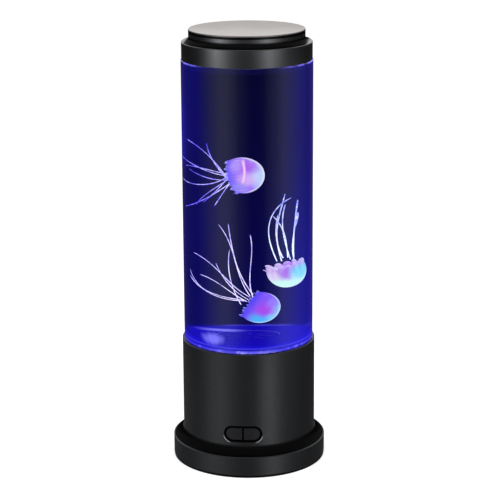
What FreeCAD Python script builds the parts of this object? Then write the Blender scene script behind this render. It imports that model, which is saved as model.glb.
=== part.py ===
import FreeCAD, Part
import math
import operator
import os
import Sketcher

# Jellyfish lamp: a clear water tank on a round black base, under a lift-off lid.
# Sizes are in millimetres. +Z is up, the keys face -Y and the power inlet faces +Y.
# The origin is on the table, on the tank's axis.

doc = FreeCAD.newDocument("JellyfishLamp")
sheet = doc.addObject("Spreadsheet::Sheet", "Sizes")

sizes = {
    # heights of the whole lamp
    "footProud": 1.0,
    "flangeHeight": 15.6,
    "shoulderRise": 6.4,
    "housingHeight": 74.0,
    "tankHeight": 219.8,
    "lidSkirt": 13.8,
    "lidNeck": 8.4,
    "discThickness": 1.0,
    # round sizes seen from outside: the tube, and the steps out and in from it
    "tubeDiameter": 101.0,
    "housingStep": 1.5,
    "flangeOverhang": 8.0,
    "lidStep": 0.5,
    "lidTopStep": 5.5,
    # walls, edges and running gaps
    "housingWall": 2.4,
    "tubeWall": 4.0,
    "edgeBreak": 0.5,
    "slipGap": 0.2,
    "bearingGap": 0.05,
    # foot flange and bottom plate
    "shoulderLand": 0.6,
    "shoulderCove": 9.0,
    "spigotWall": 1.2,
    "spigotDepth": 5.5,
    "rebateWall": 2.8,
    "plateThickness": 2.6,
    "coreDepth": 10.4,
    "coreWall": 2.3,
    "ribCount": 8,
    "ribHalfAngle": 3.0,
    "footRadius": 5.0,
    "footThickness": 2.0,
    "footInset": 16.0,
    "ventCount": 8,
    "ventWidth": 3.0,
    "ventReach": 26.0,
    # screws and the pillars that take them
    "pillarRadius": 3.5,
    "bracketPillarLength": 32.0,
    "screwRadius": 1.25,
    "screwLength": 12.0,
    "screwHeadRadius": 2.4,
    "screwHeadHeight": 1.3,
    # keys and their board
    "keyRaise": 9.7,
    "keySpan": 26.0,
    "keyRise": 9.4,
    "keySplit": 1.4,
    "keyTravel": 0.6,
    "keySunk": 0.5,
    "keyLip": 0.9,
    "recessMargin": 1.9,
    "recessDepth": 1.4,
    "recessSlope": 1.0,
    "boardSetback": 11.4,
    "boardSideMargin": 4.0,
    "boardEndMargin": 5.1,
    "boardThickness": 1.6,
    "railWidth": 3.4,
    "switchSide": 6.0,
    "switchDepth": 3.5,
    "plungerRadius": 1.7,
    "plungerReach": 0.8,
    # power inlet
    "inletRaise": 10.0,
    "inletBore": 2.75,
    "inletDepth": 8.8,
    "inletPinRadius": 1.05,
    "inletBarrel": 3.95,
    "inletFlange": 5.2,
    "inletLength": 12.4,
    "nutAcross": 11.0,
    "nutThickness": 2.0,
    # motor and its bracket
    "motorRadius": 12.0,
    "motorLength": 25.0,
    "endcapThickness": 3.0,
    "bossRadius": 3.1,
    "bossHeight": 2.3,
    "shaftRadius": 1.0,
    "bracketThickness": 2.0,
    "bracketWidth": 16.0,
    "bracketLip": 4.0,
    "bracketDrop": 16.0,
    # magnetic drive
    "carrierRadius": 15.0,
    "carrierThickness": 5.0,
    "carrierHub": 4.0,
    "carrierDrop": 1.0,
    "magnetRadius": 4.0,
    "magnetHeight": 4.0,
    "magnetRing": 9.5,
    # light under the tank
    "ledBoardThickness": 1.6,
    "ledBoardClearance": 3.0,
    "ledCount": 12,
    "ledInset": 16.6,
    "ledSide": 5.0,
    "ledHeight": 1.6,
    "reflectorWall": 1.2,
    "reflectorReach": 7.0,
    "reflectorHeight": 8.4,
    "diffuserThickness": 2.0,
    # seat of the tank
    "socketDepth": 5.0,
    "socketGap": 0.2,
    "gasketThickness": 1.6,
    "deckThickness": 2.4,
    "deckReach": 6.0,
    # tank floor and impeller
    "floorThickness": 8.5,
    "floorEdge": 1.2,
    "wellRadius": 16.0,
    "wellDepth": 6.5,
    "guardLand": 2.0,
    "guardThickness": 1.2,
    "slotCount": 8,
    "slotWidth": 2.2,
    "axlePin": 1.0,
    "wheelClearance": 1.5,
    "wheelHub": 3.2,
    "wheelPlate": 2.2,
    "vaneCount": 6,
    "vaneHeight": 2.3,
    "vaneWall": 1.2,
    "vaneCurve": 14.0,
    "wheelMagnet": 3.0,
    "wheelMagnetHeight": 1.8,
    # lid
    "lidWall": 2.0,
    "lidSkirtWall": 3.0,
    "lidCove": 3.0,
    "discInset": 0.1,
    "discBevel": 0.3,
    "plugDepth": 4.2,
    "plugWall": 1.8,
    "plugGap": 0.5,
    "sealWidth": 1.8,
    "sealProud": 0.25,
    # jellyfish
    "upperRadius": 14.0,
    "upperHeight": 21.5,
    "rightRadius": 12.0,
    "rightHeight": 20.0,
    "lowerRadius": 11.6,
    "lowerHeight": 21.5,
    "rimInset": 1.0,
    "rootInset": 4.4,
    "bellWall": 1.3,
    "frillThickness": 1.2,
    "frillLobes": 10,
    "strandDepth": 0.35,
    "strandTip": 0.22,
    "wallClearance": 1.2,
}

for row, (alias, number) in enumerate(sizes.items(), start=1):
    sheet.set("A%d" % row, alias)
    sheet.set("B%d" % row, str(number))
    sheet.setAlias("B%d" % row, alias)
doc.recompute()


# A length keeps its present value beside the expression that ties it to the sheet.
class Length:
    def __init__(self, value, text):
        self.value = float(value)
        self.text = text

    def combine(self, other, act, sign, swapped=False):
        first, second = self, asLength(other)
        if swapped:
            first, second = second, first
        text = "(%s %s %s)" % (first.text, sign, second.text)
        return Length(act(first.value, second.value), text)

    def __add__(self, other):
        return self.combine(other, operator.add, "+")

    def __radd__(self, other):
        return self.combine(other, operator.add, "+", swapped=True)

    def __sub__(self, other):
        return self.combine(other, operator.sub, "-")

    def __rsub__(self, other):
        return self.combine(other, operator.sub, "-", swapped=True)

    def __mul__(self, other):
        return self.combine(other, operator.mul, "*")

    def __rmul__(self, other):
        return self.combine(other, operator.mul, "*", swapped=True)

    def __truediv__(self, other):
        return self.combine(other, operator.truediv, "/")

    def __rtruediv__(self, other):
        return self.combine(other, operator.truediv, "/", swapped=True)

    def __neg__(self):
        return Length(-self.value, "(-%s)" % self.text)


def asLength(number):
    if isinstance(number, Length):
        return number
    return Length(number, repr(float(number)))


def size(alias):
    return Length(sheet.get(alias), "Sizes.%s" % alias)


def sideOf(hypotenuse, other):
    # the other short side of a right triangle
    value = math.sqrt(hypotenuse.value ** 2 - other.value ** 2)
    return Length(value, "sqrt(%s ^ 2 - %s ^ 2)" % (hypotenuse.text, other.text))


def polar(radius, degrees):
    angle = asLength(degrees)
    x = math.cos(math.radians(angle.value)) * radius.value
    y = math.sin(math.radians(angle.value)) * radius.value
    return (Length(x, "(%s * cos(%s))" % (radius.text, angle.text)),
            Length(y, "(%s * sin(%s))" % (radius.text, angle.text)))


def bind(thing, name, length):
    thing.setExpression(name, asLength(length).text)


# Bodies, sketches and features
def newBody(label):
    body = doc.addObject("PartDesign::Body", "Body")
    body.Label = label
    return body


def originPart(body, role):
    for feature in body.Origin.OriginFeatures:
        if feature.Role == role:
            return feature
    raise ValueError(role)


def sketchOn(body, role, offset=None, turn=0.0):
    sketch = body.newObject("Sketcher::SketchObject", "Sketch")
    sketch.AttachmentSupport = (originPart(body, role), [""])
    sketch.MapMode = "FlatFace"
    spin = FreeCAD.Rotation(FreeCAD.Vector(0, 0, 1), turn)
    sketch.AttachmentOffset = FreeCAD.Placement(FreeCAD.Vector(), spin)
    if offset is not None:
        bind(sketch, "AttachmentOffset.Base.z", offset)
    return sketch


def pinAlong(sketch, edge, end, kind, length):
    length = asLength(length)
    if length.value == 0:
        axis = -2 if kind == "DistanceX" else -1
        sketch.addConstraint(Sketcher.Constraint("PointOnObject", edge, end, axis))
        return
    index = sketch.addConstraint(Sketcher.Constraint(kind, -1, 1, edge, end, length.value))
    bind(sketch, "Constraints[%d]" % index, length)


def pinPoint(sketch, edge, end, x, y):
    pinAlong(sketch, edge, end, "DistanceX", x)
    pinAlong(sketch, edge, end, "DistanceY", y)


def arcBetween(first, last, radius):
    # a positive radius has its centre on the left of the way from first to last
    half = (last - first) * 0.5
    reach = math.sqrt(max(radius ** 2 - half.Length ** 2, 0.0))
    left = FreeCAD.Vector(-half.y, half.x, 0).normalize()
    centre = first + half + left * math.copysign(reach, radius)
    start, stop = (first, last) if radius > 0 else (last, first)
    angles = [math.atan2(p.y - centre.y, p.x - centre.x) for p in (start, stop)]
    if angles[1] < angles[0]:
        angles[1] += 2 * math.pi
    ring = Part.Circle(centre, FreeCAD.Vector(0, 0, 1), abs(radius))
    return Part.ArcOfCircle(ring, angles[0], angles[1])


# Each corner is (x, y), or (x, y, radius) where an arc leads to it.
def outline(sketch, corners):
    points = [FreeCAD.Vector(asLength(c[0]).value, asLength(c[1]).value, 0) for c in corners]
    ends = []
    for index, corner in enumerate(corners):
        before = points[index - 1]
        here = points[index]
        if len(corner) == 2:
            edge = sketch.addGeometry(Part.LineSegment(before, here), False)
            ends.append((edge, 1, 2))
            continue
        radius = asLength(corner[2])
        edge = sketch.addGeometry(arcBetween(before, here, radius.value), False)
        if abs(radius.value) * 2 - (here - before).Length < 1e-6:
            # a half circle on an upright chord has its centre on the chord
            pinAlong(sketch, edge, 3, "DistanceX", corner[0])
        else:
            rule = sketch.addConstraint(Sketcher.Constraint("Radius", edge, abs(radius.value)))
            bind(sketch, "Constraints[%d]" % rule, radius if radius.value > 0 else -radius)
        ends.append((edge, 1, 2) if radius.value > 0 else (edge, 2, 1))
    for index, (edge, first, last) in enumerate(ends):
        following, start, stop = ends[(index + 1) % len(ends)]
        sketch.addConstraint(Sketcher.Constraint("Coincident", edge, last, following, start))
        pinPoint(sketch, edge, last, corners[index][0], corners[index][1])


def rectangle(sketch, left, right, low, high):
    outline(sketch, [(left, low), (right, low), (right, high), (left, high)])


def circle(sketch, x, y, radius):
    ring = Part.Circle(FreeCAD.Vector(asLength(x).value, asLength(y).value, 0),
                       FreeCAD.Vector(0, 0, 1), radius.value)
    edge = sketch.addGeometry(ring, False)
    rule = sketch.addConstraint(Sketcher.Constraint("Radius", edge, radius.value))
    bind(sketch, "Constraints[%d]" % rule, radius)
    pinPoint(sketch, edge, 3, x, y)


def stadium(sketch, halfSpan, halfRise, middle):
    straight = halfSpan - halfRise
    low = middle - halfRise
    high = middle + halfRise
    outline(sketch, [(-straight, low, halfRise), (straight, low), (straight, high, halfRise),
                     (-straight, high)])


def axisLine(sketch, first, last):
    points = [FreeCAD.Vector(asLength(p[0]).value, asLength(p[1]).value, 0) for p in (first, last)]
    edge = sketch.addGeometry(Part.LineSegment(points[0], points[1]), True)
    pinPoint(sketch, edge, 1, first[0], first[1])
    pinPoint(sketch, edge, 2, last[0], last[1])


def revolve(body, sketch, axis="V_Axis", kind="Revolution"):
    turn = body.newObject("PartDesign::%s" % kind, kind)
    turn.Profile = (sketch, [""])
    turn.ReferenceAxis = (sketch, [axis])
    turn.Angle = 360
    body.Tip = turn
    return turn


def turned(label, corners):
    body = newBody(label)
    sketch = sketchOn(body, "XZ_Plane")
    outline(sketch, corners)
    revolve(body, sketch)
    return body


def turnedBeside(label, centre, corners):
    # corners are (radius, height) about an upright line at centre
    body = newBody(label)
    sketch = sketchOn(body, "XZ_Plane")
    outline(sketch, [(centre + corner[0],) + tuple(corner[1:]) for corner in corners])
    axisLine(sketch, (centre, corners[0][1]), (centre, corners[-1][1]))
    return body, revolve(body, sketch, "Axis0")


def trimRound(body, inner, outer, low, high):
    # cuts away everything between two radii
    sketch = sketchOn(body, "XZ_Plane")
    rectangle(sketch, inner, outer, low, high)
    return revolve(body, sketch, kind="Groove")


def pad(body, sketch, length, backward=False):
    feature = body.newObject("PartDesign::Pad", "Pad")
    feature.Profile = (sketch, [""])
    feature.Reversed = backward
    bind(feature, "Length", length)
    body.Tip = feature
    return feature


def pocket(body, sketch, depth, backward=False):
    feature = body.newObject("PartDesign::Pocket", "Pocket")
    feature.Profile = (sketch, [""])
    feature.Reversed = backward
    bind(feature, "Length", depth)
    body.Tip = feature
    return feature


def around(body, feature, count):
    pattern = body.newObject("PartDesign::PolarPattern", "Around")
    pattern.Originals = [feature]
    pattern.Axis = (originPart(body, "Z_Axis"), [""])
    pattern.Angle = 360
    pattern.Occurrences = int(asLength(count).value)
    if isinstance(count, Length):
        bind(pattern, "Occurrences", count)
    body.Tip = pattern
    return pattern


def roundHoles(body, level, depth, ring, radius, count, turn=0.0, upward=True):
    sketch = sketchOn(body, "XY_Plane", level, turn)
    circle(sketch, ring, 0, radius)
    cut = pocket(body, sketch, depth, backward=upward)
    return around(body, cut, count)


def upright(label, level, length, draw):
    # a plate or block that rises from level
    body = newBody(label)
    sketch = sketchOn(body, "XY_Plane", level)
    draw(sketch)
    pad(body, sketch, length)
    return body


# Radii and levels worked out from the driving sizes
edgeBreak = size("edgeBreak")
slipGap = size("slipGap")
tubeRadius = size("tubeDiameter") / 2
tubeInner = tubeRadius - size("tubeWall")
housingRadius = tubeRadius + size("housingStep")
housingInner = housingRadius - size("housingWall")
flangeRadius = housingRadius + size("flangeOverhang")
lidRadius = tubeRadius - size("lidStep")
lidTopRadius = lidRadius - size("lidTopStep")

plateBottom = size("footProud")
plateTop = plateBottom + size("plateThickness")
flangeTop = plateBottom + size("flangeHeight")
shoulderTop = flangeTop + size("shoulderRise")
housingTop = shoulderTop + size("housingHeight")
tankBottom = housingTop - size("socketDepth")
tankTop = tankBottom + size("tankHeight") + size("socketDepth")
deckTop = tankBottom - size("gasketThickness")
deckBottom = deckTop - size("deckThickness")
floorTop = tankBottom + size("floorThickness")
lidLedge = tankTop + size("lidSkirt")
discBottom = lidLedge + size("lidNeck")
lampTop = discBottom + size("discThickness")
keyLevel = shoulderTop + size("keyRaise")
inletLevel = shoulderTop + size("inletRaise")

socketRadius = tubeRadius + size("socketGap")
deckRadius = housingInner - size("deckReach")
spigotRadius = housingInner + size("spigotWall")
rebateRadius = flangeRadius - size("rebateWall")
pillarRadius = size("pillarRadius")
pillarRing = housingInner - pillarRadius + size("spigotWall") / 2
lightLevel = deckBottom - size("reflectorHeight")
pillarTop = lightLevel - size("ledBoardThickness")
motorTop = pillarTop - size("bracketDrop")
motorBottom = motorTop - size("motorLength")
footRing = flangeRadius - size("footInset")
screwRadius = size("screwRadius")
screwHole = screwRadius + size("bearingGap")
screwPass = screwRadius + slipGap * 2
screwHeadRadius = size("screwHeadRadius")
screwHeadHeight = size("screwHeadHeight")
screwTurn = 45.0
screwCount = 4


# Foot flange: a ring with a coved shoulder, cored out from below between ribs
def makeFlange():
    bore = spigotRadius + slipGap / 2
    body = turned("base_flange", [
        (rebateRadius, plateBottom),
        (flangeRadius - edgeBreak * 2, plateBottom),
        (flangeRadius, plateBottom + edgeBreak * 2),
        (flangeRadius, flangeTop - edgeBreak),
        (flangeRadius - edgeBreak, flangeTop),
        (housingRadius + size("shoulderLand"), shoulderTop, -size("shoulderCove")),
        (bore, shoulderTop),
        (bore, plateTop),
        (rebateRadius, plateTop)])
    inner = bore + size("coreWall")
    outer = rebateRadius - edgeBreak
    half = 180.0 / size("ribCount") - size("ribHalfAngle")
    sketch = sketchOn(body, "XY_Plane", plateTop)
    outline(sketch, [
        polar(outer, -half),
        polar(outer, half) + (outer,),
        polar(inner, half),
        polar(inner, -half) + (-inner,)])
    around(body, pocket(body, sketch, size("coreDepth"), backward=True), size("ribCount"))
    return body


# Bottom plate: seats for the feet, counterbored screw holes and cooling slots
def makeBottomPlate():
    radius = rebateRadius - slipGap
    body = turned("bottom_plate", [
        (0, plateBottom), (radius, plateBottom), (radius, plateTop), (0, plateTop)])
    footSeat = size("footThickness") - size("footProud")
    roundHoles(body, plateBottom, footSeat, footRing, size("footRadius") + slipGap,
               screwCount)
    roundHoles(body, plateBottom, size("plateThickness"), pillarRing, screwPass, screwCount,
               screwTurn)
    roundHoles(body, plateBottom, screwHeadHeight, pillarRing, screwHeadRadius + slipGap,
               screwCount, screwTurn)
    halfSlot = size("ventWidth") / 2
    inner = size("ventReach") / 2
    outer = size("ventReach")
    sketch = sketchOn(body, "XY_Plane", plateBottom)
    outline(sketch, [
        (inner, -halfSlot, halfSlot), (outer, -halfSlot), (outer, halfSlot, halfSlot),
        (inner, halfSlot)])
    around(body, pocket(body, sketch, size("plateThickness"), backward=True), size("ventCount"))
    return body


def makeFeet():
    body = newBody("foot_pads")
    sketch = sketchOn(body, "XY_Plane")
    circle(sketch, footRing, 0, size("footRadius"))
    around(body, pad(body, sketch, size("footThickness")), screwCount)
    return body


# Screws: a flat head and a plain shank, as a ring of equal ones
def makeScrews(label, seat, ring, length, count, turn, headUp=True):
    reach = length if headUp else -length
    head = screwHeadHeight if headUp else -screwHeadHeight
    corners = [(0, seat - reach), (screwRadius, seat - reach), (screwRadius, seat),
               (screwHeadRadius, seat), (screwHeadRadius, seat + head), (0, seat + head)]
    body, screw = turnedBeside(label, ring, corners)
    around(body, screw, count)
    body.Placement = FreeCAD.Placement(
        FreeCAD.Vector(), FreeCAD.Rotation(FreeCAD.Vector(0, 0, 1), turn))
    return body


# Where the keys' board stands behind the wall
boardFront = housingRadius - size("boardSetback")
boardHalfWidth = size("keySpan") / 2 + size("boardSideMargin")
boardRise = size("keyRise") + size("boardEndMargin") * 2
boardBottom = keyLevel - boardRise / 2


# Housing: a turned shell with a deck for the tank, pillars, board rails and two wall openings
def makeHousing():
    core = turned("base_housing", [
        (housingInner, shoulderTop - size("spigotDepth")),
        (spigotRadius, shoulderTop - size("spigotDepth")),
        (spigotRadius, shoulderTop),
        (housingRadius - edgeBreak / 2, shoulderTop),
        (housingRadius, shoulderTop + edgeBreak / 2),
        (housingRadius, housingTop - edgeBreak),
        (housingRadius - edgeBreak, housingTop),
        (socketRadius, housingTop),
        (socketRadius, deckTop),
        (deckRadius, deckTop),
        (deckRadius, deckBottom),
        (housingInner, deckBottom)])

    sketch = sketchOn(core, "XY_Plane", plateTop, screwTurn)
    circle(sketch, pillarRing, 0, pillarRadius)
    around(core, pad(core, sketch, pillarTop - plateTop), screwCount)
    bracketPillar = size("bracketPillarLength")
    sketch = sketchOn(core, "XY_Plane", motorTop - bracketPillar)
    circle(sketch, pillarRing, 0, pillarRadius)
    around(core, pad(core, sketch, bracketPillar), 2)

    holeDepth = size("screwLength") + edgeBreak
    roundHoles(core, plateTop, holeDepth, pillarRing, screwHole, screwCount, screwTurn)
    roundHoles(core, pillarTop, holeDepth, pillarRing, screwHole, screwCount, screwTurn,
               upward=False)
    roundHoles(core, motorTop, holeDepth, pillarRing, screwHole, 2, upward=False)

    railInner = boardHalfWidth - size("railWidth") / 2
    railOuter = railInner + size("railWidth")
    railBottom = boardBottom - edgeBreak * 2
    railBack = boardFront - size("boardThickness") - size("railWidth") / 2
    railFront = sideOf(housingInner, railOuter) + edgeBreak
    sketch = sketchOn(core, "XY_Plane", railBottom)
    rectangle(sketch, railInner, railOuter, -railFront, -railBack)
    rectangle(sketch, -railOuter, -railInner, -railFront, -railBack)
    pad(core, sketch, boardRise)
    slotFront = boardFront + slipGap / 2
    slotBack = boardFront - size("boardThickness") - slipGap / 2
    slotEnd = boardHalfWidth + slipGap / 2
    sketch = sketchOn(core, "XY_Plane", boardBottom)
    rectangle(sketch, railInner - edgeBreak, slotEnd, -slotFront, -slotBack)
    rectangle(sketch, -slotEnd, -(railInner - edgeBreak), -slotFront, -slotBack)
    pocket(core, sketch, boardRise, backward=True)

    keyGap = slipGap * 1.5
    outside = housingRadius + edgeBreak
    sketch = sketchOn(core, "XZ_Plane", outside)
    stadium(sketch, size("keySpan") / 2 + keyGap, size("keyRise") / 2 + keyGap, keyLevel)
    wallReach = outside - sideOf(housingInner, size("keySpan") / 2) + edgeBreak * 2
    pocket(core, sketch, wallReach)

    sketch = sketchOn(core, "XZ_Plane", -outside)
    circle(sketch, 0, inletLevel, size("inletBarrel") + slipGap / 2)
    pocket(core, sketch, wallReach, backward=True)
    sketch = sketchOn(core, "XZ_Plane", -outside)
    circle(sketch, 0, inletLevel, size("inletFlange") + slipGap)
    pocket(core, sketch, inletSeat(), backward=True)

    floorRadius = housingRadius - size("recessDepth")
    slope = size("recessSlope")
    recess = newBody("key_recess")
    sketch = sketchOn(recess, "XZ_Plane", floorRadius - size("keyRise"))
    grow = size("recessMargin") - slope
    stadium(sketch, size("keySpan") / 2 + grow, size("keyRise") / 2 + grow, keyLevel)
    pad(recess, sketch, size("keyRise") * 2)
    trimRound(recess, 0, floorRadius, shoulderTop, housingTop)
    cut = core.newObject("PartDesign::Boolean", "Boolean")
    cut.Type = "Cut"
    cut.setObjects([recess])
    core.Tip = cut
    doc.recompute()
    bevel = core.newObject("PartDesign::Chamfer", "Chamfer")
    bevel.Base = (cut, recessRim(cut.Shape))
    bind(bevel, "Size", slope)
    core.Tip = bevel
    return core


def recessRim(shape):
    # the edges where the key recess meets the outer wall
    names = []
    for number, edge in enumerate(shape.Edges, start=1):
        middle = edge.valueAt((edge.FirstParameter + edge.LastParameter) / 2)
        onWall = abs(math.hypot(middle.x, middle.y) - housingRadius.value) < 0.01
        near = abs(middle.z - keyLevel.value) < size("keyRise").value
        if onWall and near and middle.y < 0:
            names.append("Edge%d" % number)
    return names


def inletSeat():
    # depth of the flat that carries the inlet's flange, from just outside the wall
    return edgeBreak + housingRadius - sideOf(housingRadius, size("inletFlange")) + edgeBreak


# Keys: half a stadium each, curved like the housing, with a lip behind the wall
def halfStadium(sketch, side, grow):
    near = size("keySplit") / 2
    halfRise = size("keyRise") / 2 + grow
    far = size("keySpan") / 2 + grow - halfRise
    low = keyLevel - halfRise
    high = keyLevel + halfRise
    if side > 0:
        outline(sketch, [(near, low), (far, low), (far, high, halfRise), (near, high)])
    else:
        outline(sketch, [(-near, high), (-far, high), (-far, low, halfRise), (-near, low)])


def makeKey(label, side):
    body = newBody(label)
    back = keyBack()
    lipFace = housingInner - slipGap * 1.5
    sketch = sketchOn(body, "XZ_Plane", back)
    halfStadium(sketch, side, size("keyLip"))
    pad(body, sketch, lipFace - back)
    trimRound(body, lipFace, housingRadius, shoulderTop, deckBottom)
    sketch = sketchOn(body, "XZ_Plane", back)
    halfStadium(sketch, side, asLength(0))
    pad(body, sketch, housingRadius - back)
    trimRound(body, housingRadius - size("keySunk"), flangeRadius, shoulderTop, deckBottom)
    return body


def keyBack():
    plungerFront = boardFront + size("switchDepth") + size("plungerReach")
    return plungerFront + size("keyTravel") + slipGap


def makeControlBoard():
    back = boardFront - size("boardThickness")
    return upright("control_board", boardBottom, boardRise,
                   lambda sketch: rectangle(sketch, -boardHalfWidth, boardHalfWidth,
                                            -boardFront, -back))


def makeSwitches():
    body = newBody("tact_switches")
    reach = size("keySpan") / 4
    half = size("switchSide") / 2
    level = keyLevel
    sketch = sketchOn(body, "XZ_Plane", boardFront)
    for centre in (reach, -reach):
        rectangle(sketch, centre - half, centre + half, level - half, level + half)
    pad(body, sketch, size("switchDepth"))
    sketch = sketchOn(body, "XZ_Plane", boardFront + size("switchDepth"))
    for centre in (reach, -reach):
        circle(sketch, centre, level, size("plungerRadius"))
    pad(body, sketch, size("plungerReach"))
    return body


# Power inlet: a round panel socket, its centre pin and the nut behind the wall
def inletFace():
    return sideOf(housingRadius, size("inletFlange")) + edgeBreak / 2


def makeInlet():
    body = newBody("power_inlet")
    level = inletLevel
    seat = sideOf(housingRadius, size("inletFlange")) - edgeBreak
    front = inletFace()
    rear = front - size("inletLength")
    boreEnd = front - size("inletDepth")
    shell = nutBack() - slipGap
    barrel = size("inletBarrel")
    sketch = sketchOn(body, "YZ_Plane")
    outline(sketch, [
        (rear, level), (boreEnd, level), (boreEnd, level + size("inletBore")),
        (front, level + size("inletBore")), (front, level + size("inletFlange")),
        (seat, level + size("inletFlange")), (seat, level + barrel), (shell, level + barrel),
        (shell, level + barrel + edgeBreak), (rear, level + barrel + edgeBreak)])
    axisLine(sketch, (rear, level), (boreEnd, level))
    revolve(body, sketch, "Axis0")
    return body


def makeInletPin():
    body = newBody("inlet_pin")
    boreEnd = inletFace() - size("inletDepth")
    sketch = sketchOn(body, "XZ_Plane", -boreEnd)
    circle(sketch, 0, inletLevel, size("inletPinRadius"))
    pad(body, sketch, size("inletDepth") - edgeBreak * 2, backward=True)
    return body


def nutFront():
    return sideOf(housingInner, size("nutAcross") / 2) - edgeBreak / 5


def nutBack():
    return nutFront() - size("nutThickness")


def makeInletNut():
    body = newBody("inlet_nut")
    corner = size("nutAcross") / (2 * math.cos(math.radians(30)))
    sketch = sketchOn(body, "XZ_Plane", -nutBack())
    corners = []
    for step in range(6):
        x, y = polar(corner, 60.0 * step + 30.0)
        corners.append((x if step % 3 != 1 else asLength(0), y + inletLevel))
    outline(sketch, corners)
    circle(sketch, 0, inletLevel, size("inletBarrel") + size("bearingGap"))
    pad(body, sketch, size("nutThickness"), backward=True)
    return body


# Motor: can, end cap and tabs, hung from a bracket between two pillars
motorScrewRing = size("motorRadius") * 2 / 3


def makeBracket():
    half = size("bracketWidth") / 2
    tip = sideOf(housingInner, half) - slipGap * 3
    body = upright("motor_bracket", motorTop, size("bracketThickness"),
                   lambda sketch: rectangle(sketch, -tip, tip, -half, half))
    lipEnd = tip - pillarRadius * 3
    lipWall = size("bracketThickness") / 2
    sketch = sketchOn(body, "XY_Plane", motorTop + size("bracketThickness"))
    rectangle(sketch, -lipEnd, lipEnd, half - lipWall, half)
    rectangle(sketch, -lipEnd, lipEnd, -half, -(half - lipWall))
    pad(body, sketch, size("bracketLip") - size("bracketThickness"))
    sketch = sketchOn(body, "XY_Plane", motorTop)
    circle(sketch, 0, 0, size("bossRadius") + slipGap)
    for ring in (pillarRing, motorScrewRing):
        circle(sketch, ring, 0, screwPass)
        circle(sketch, -ring, 0, screwPass)
    pocket(body, sketch, size("bracketThickness"), backward=True)
    return body


def makeMotorCan():
    bore = size("shaftRadius") + size("bearingGap")
    radius = size("motorRadius")
    boss = size("bossRadius")
    body = turned("motor_can", [
        (0, motorBottom), (radius, motorBottom), (radius, motorTop - edgeBreak * 2),
        (radius - edgeBreak * 2, motorTop), (boss, motorTop),
        (boss, motorTop + size("bossHeight")), (bore, motorTop + size("bossHeight")),
        (bore, motorTop - size("motorLength") / 2), (0, motorTop - size("motorLength") / 2)])
    roundHoles(body, motorTop, size("screwLength") / 3, motorScrewRing, screwHole, 2,
               upward=False)
    return body


def makeMotorEnd():
    radius = size("motorRadius") - edgeBreak
    low = motorBottom - size("endcapThickness")
    hub = size("bossRadius") * 1.5
    return turned("motor_endcap", [
        (0, low - edgeBreak * 2), (hub, low - edgeBreak * 2), (hub, low), (radius - edgeBreak, low),
        (radius, low + edgeBreak), (radius, motorBottom), (0, motorBottom)])


def makeMotorTabs():
    body = newBody("motor_tabs")
    low = motorBottom - size("endcapThickness")
    reach = size("motorRadius") * 0.65
    halfWide = edgeBreak * 3
    halfThick = edgeBreak / 2
    sketch = sketchOn(body, "XY_Plane", low)
    rectangle(sketch, reach - halfThick, reach + halfThick, -halfWide, halfWide)
    rectangle(sketch, -reach - halfThick, -reach + halfThick, -halfWide, halfWide)
    pad(body, sketch, size("endcapThickness"), backward=True)
    return body


# Magnetic drive: the shaft turns a carrier with magnets under the tank
carrierTop = deckBottom - size("carrierDrop")
carrierBottom = carrierTop - size("carrierThickness")


def makeShaft():
    low = motorTop - size("motorLength") / 2 + slipGap
    return upright("motor_shaft", low, carrierTop - low,
                   lambda sketch: circle(sketch, 0, 0, size("shaftRadius")))


def makeCarrier():
    radius = size("carrierRadius")
    hub = size("carrierHub")
    hubBottom = carrierBottom - size("carrierThickness") / 2
    body = turned("magnet_carrier", [
        (size("shaftRadius"), hubBottom), (hub, hubBottom), (hub, carrierBottom),
        (radius - edgeBreak, carrierBottom), (radius, carrierBottom + edgeBreak),
        (radius, carrierTop), (size("shaftRadius"), carrierTop)])
    roundHoles(body, carrierTop, size("magnetHeight"), size("magnetRing"), size("magnetRadius"),
               4, upward=False)
    return body


def ringOfDiscs(label, level, height, ring, radius, count):
    body = newBody(label)
    sketch = sketchOn(body, "XY_Plane", level)
    circle(sketch, ring, 0, radius)
    around(body, pad(body, sketch, height), count)
    return body


# Light: a ring board with its light chips, a reflector and an opal diffuser
ledRing = housingInner - size("ledInset")


def makeLedBoard():
    radius = housingInner - slipGap * 3
    hole = size("carrierRadius") + size("ledBoardClearance")
    body = turned("led_board", [
        (hole, pillarTop), (radius, pillarTop), (radius, lightLevel), (hole, lightLevel)])
    roundHoles(body, pillarTop, size("ledBoardThickness"), pillarRing, screwPass, screwCount,
               screwTurn)
    return body


def makeLeds():
    body = newBody("light_chips")
    half = size("ledSide") / 2
    sketch = sketchOn(body, "XY_Plane", lightLevel)
    rectangle(sketch, ledRing - half, ledRing + half, -half, half)
    around(body, pad(body, sketch, size("ledHeight")), size("ledCount"))
    return body


def makeReflector():
    wall = size("reflectorWall")
    foot = ledRing + size("reflectorReach")
    rim = housingInner - slipGap * 4
    mouth = deckRadius - size("diffuserThickness")
    body = turned("light_reflector", [
        (foot, lightLevel), (rim, lightLevel), (rim, lightLevel + wall),
        (foot + wall * 1.3, lightLevel + wall), (mouth + wall / 2, deckBottom - wall),
        (rim, deckBottom - wall), (rim, deckBottom), (mouth - wall / 2, deckBottom)])
    roundHoles(body, lightLevel, wall, pillarRing, screwPass, screwCount, screwTurn)
    return body


def makeDiffuser():
    radius = deckRadius - slipGap
    top = deckBottom + size("diffuserThickness")
    return turned("diffuser_plate", [
        (0, deckBottom), (radius, deckBottom), (radius, top), (0, top)])


# Tank: gasket, tube and glued floor, with the impeller in a well under a slotted guard
wellFloor = floorTop - size("wellDepth")
guardBottom = floorTop - size("guardThickness")
axleBottom = wellFloor - size("floorThickness") / 8
axleTop = guardBottom + size("guardThickness") / 2
guardRadius = size("wellRadius") + size("guardLand")
wheelRadius = size("wellRadius") - size("wheelClearance")
wheelBottom = wellFloor + slipGap * 2
wheelTop = wheelBottom + size("wheelPlate")


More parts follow.
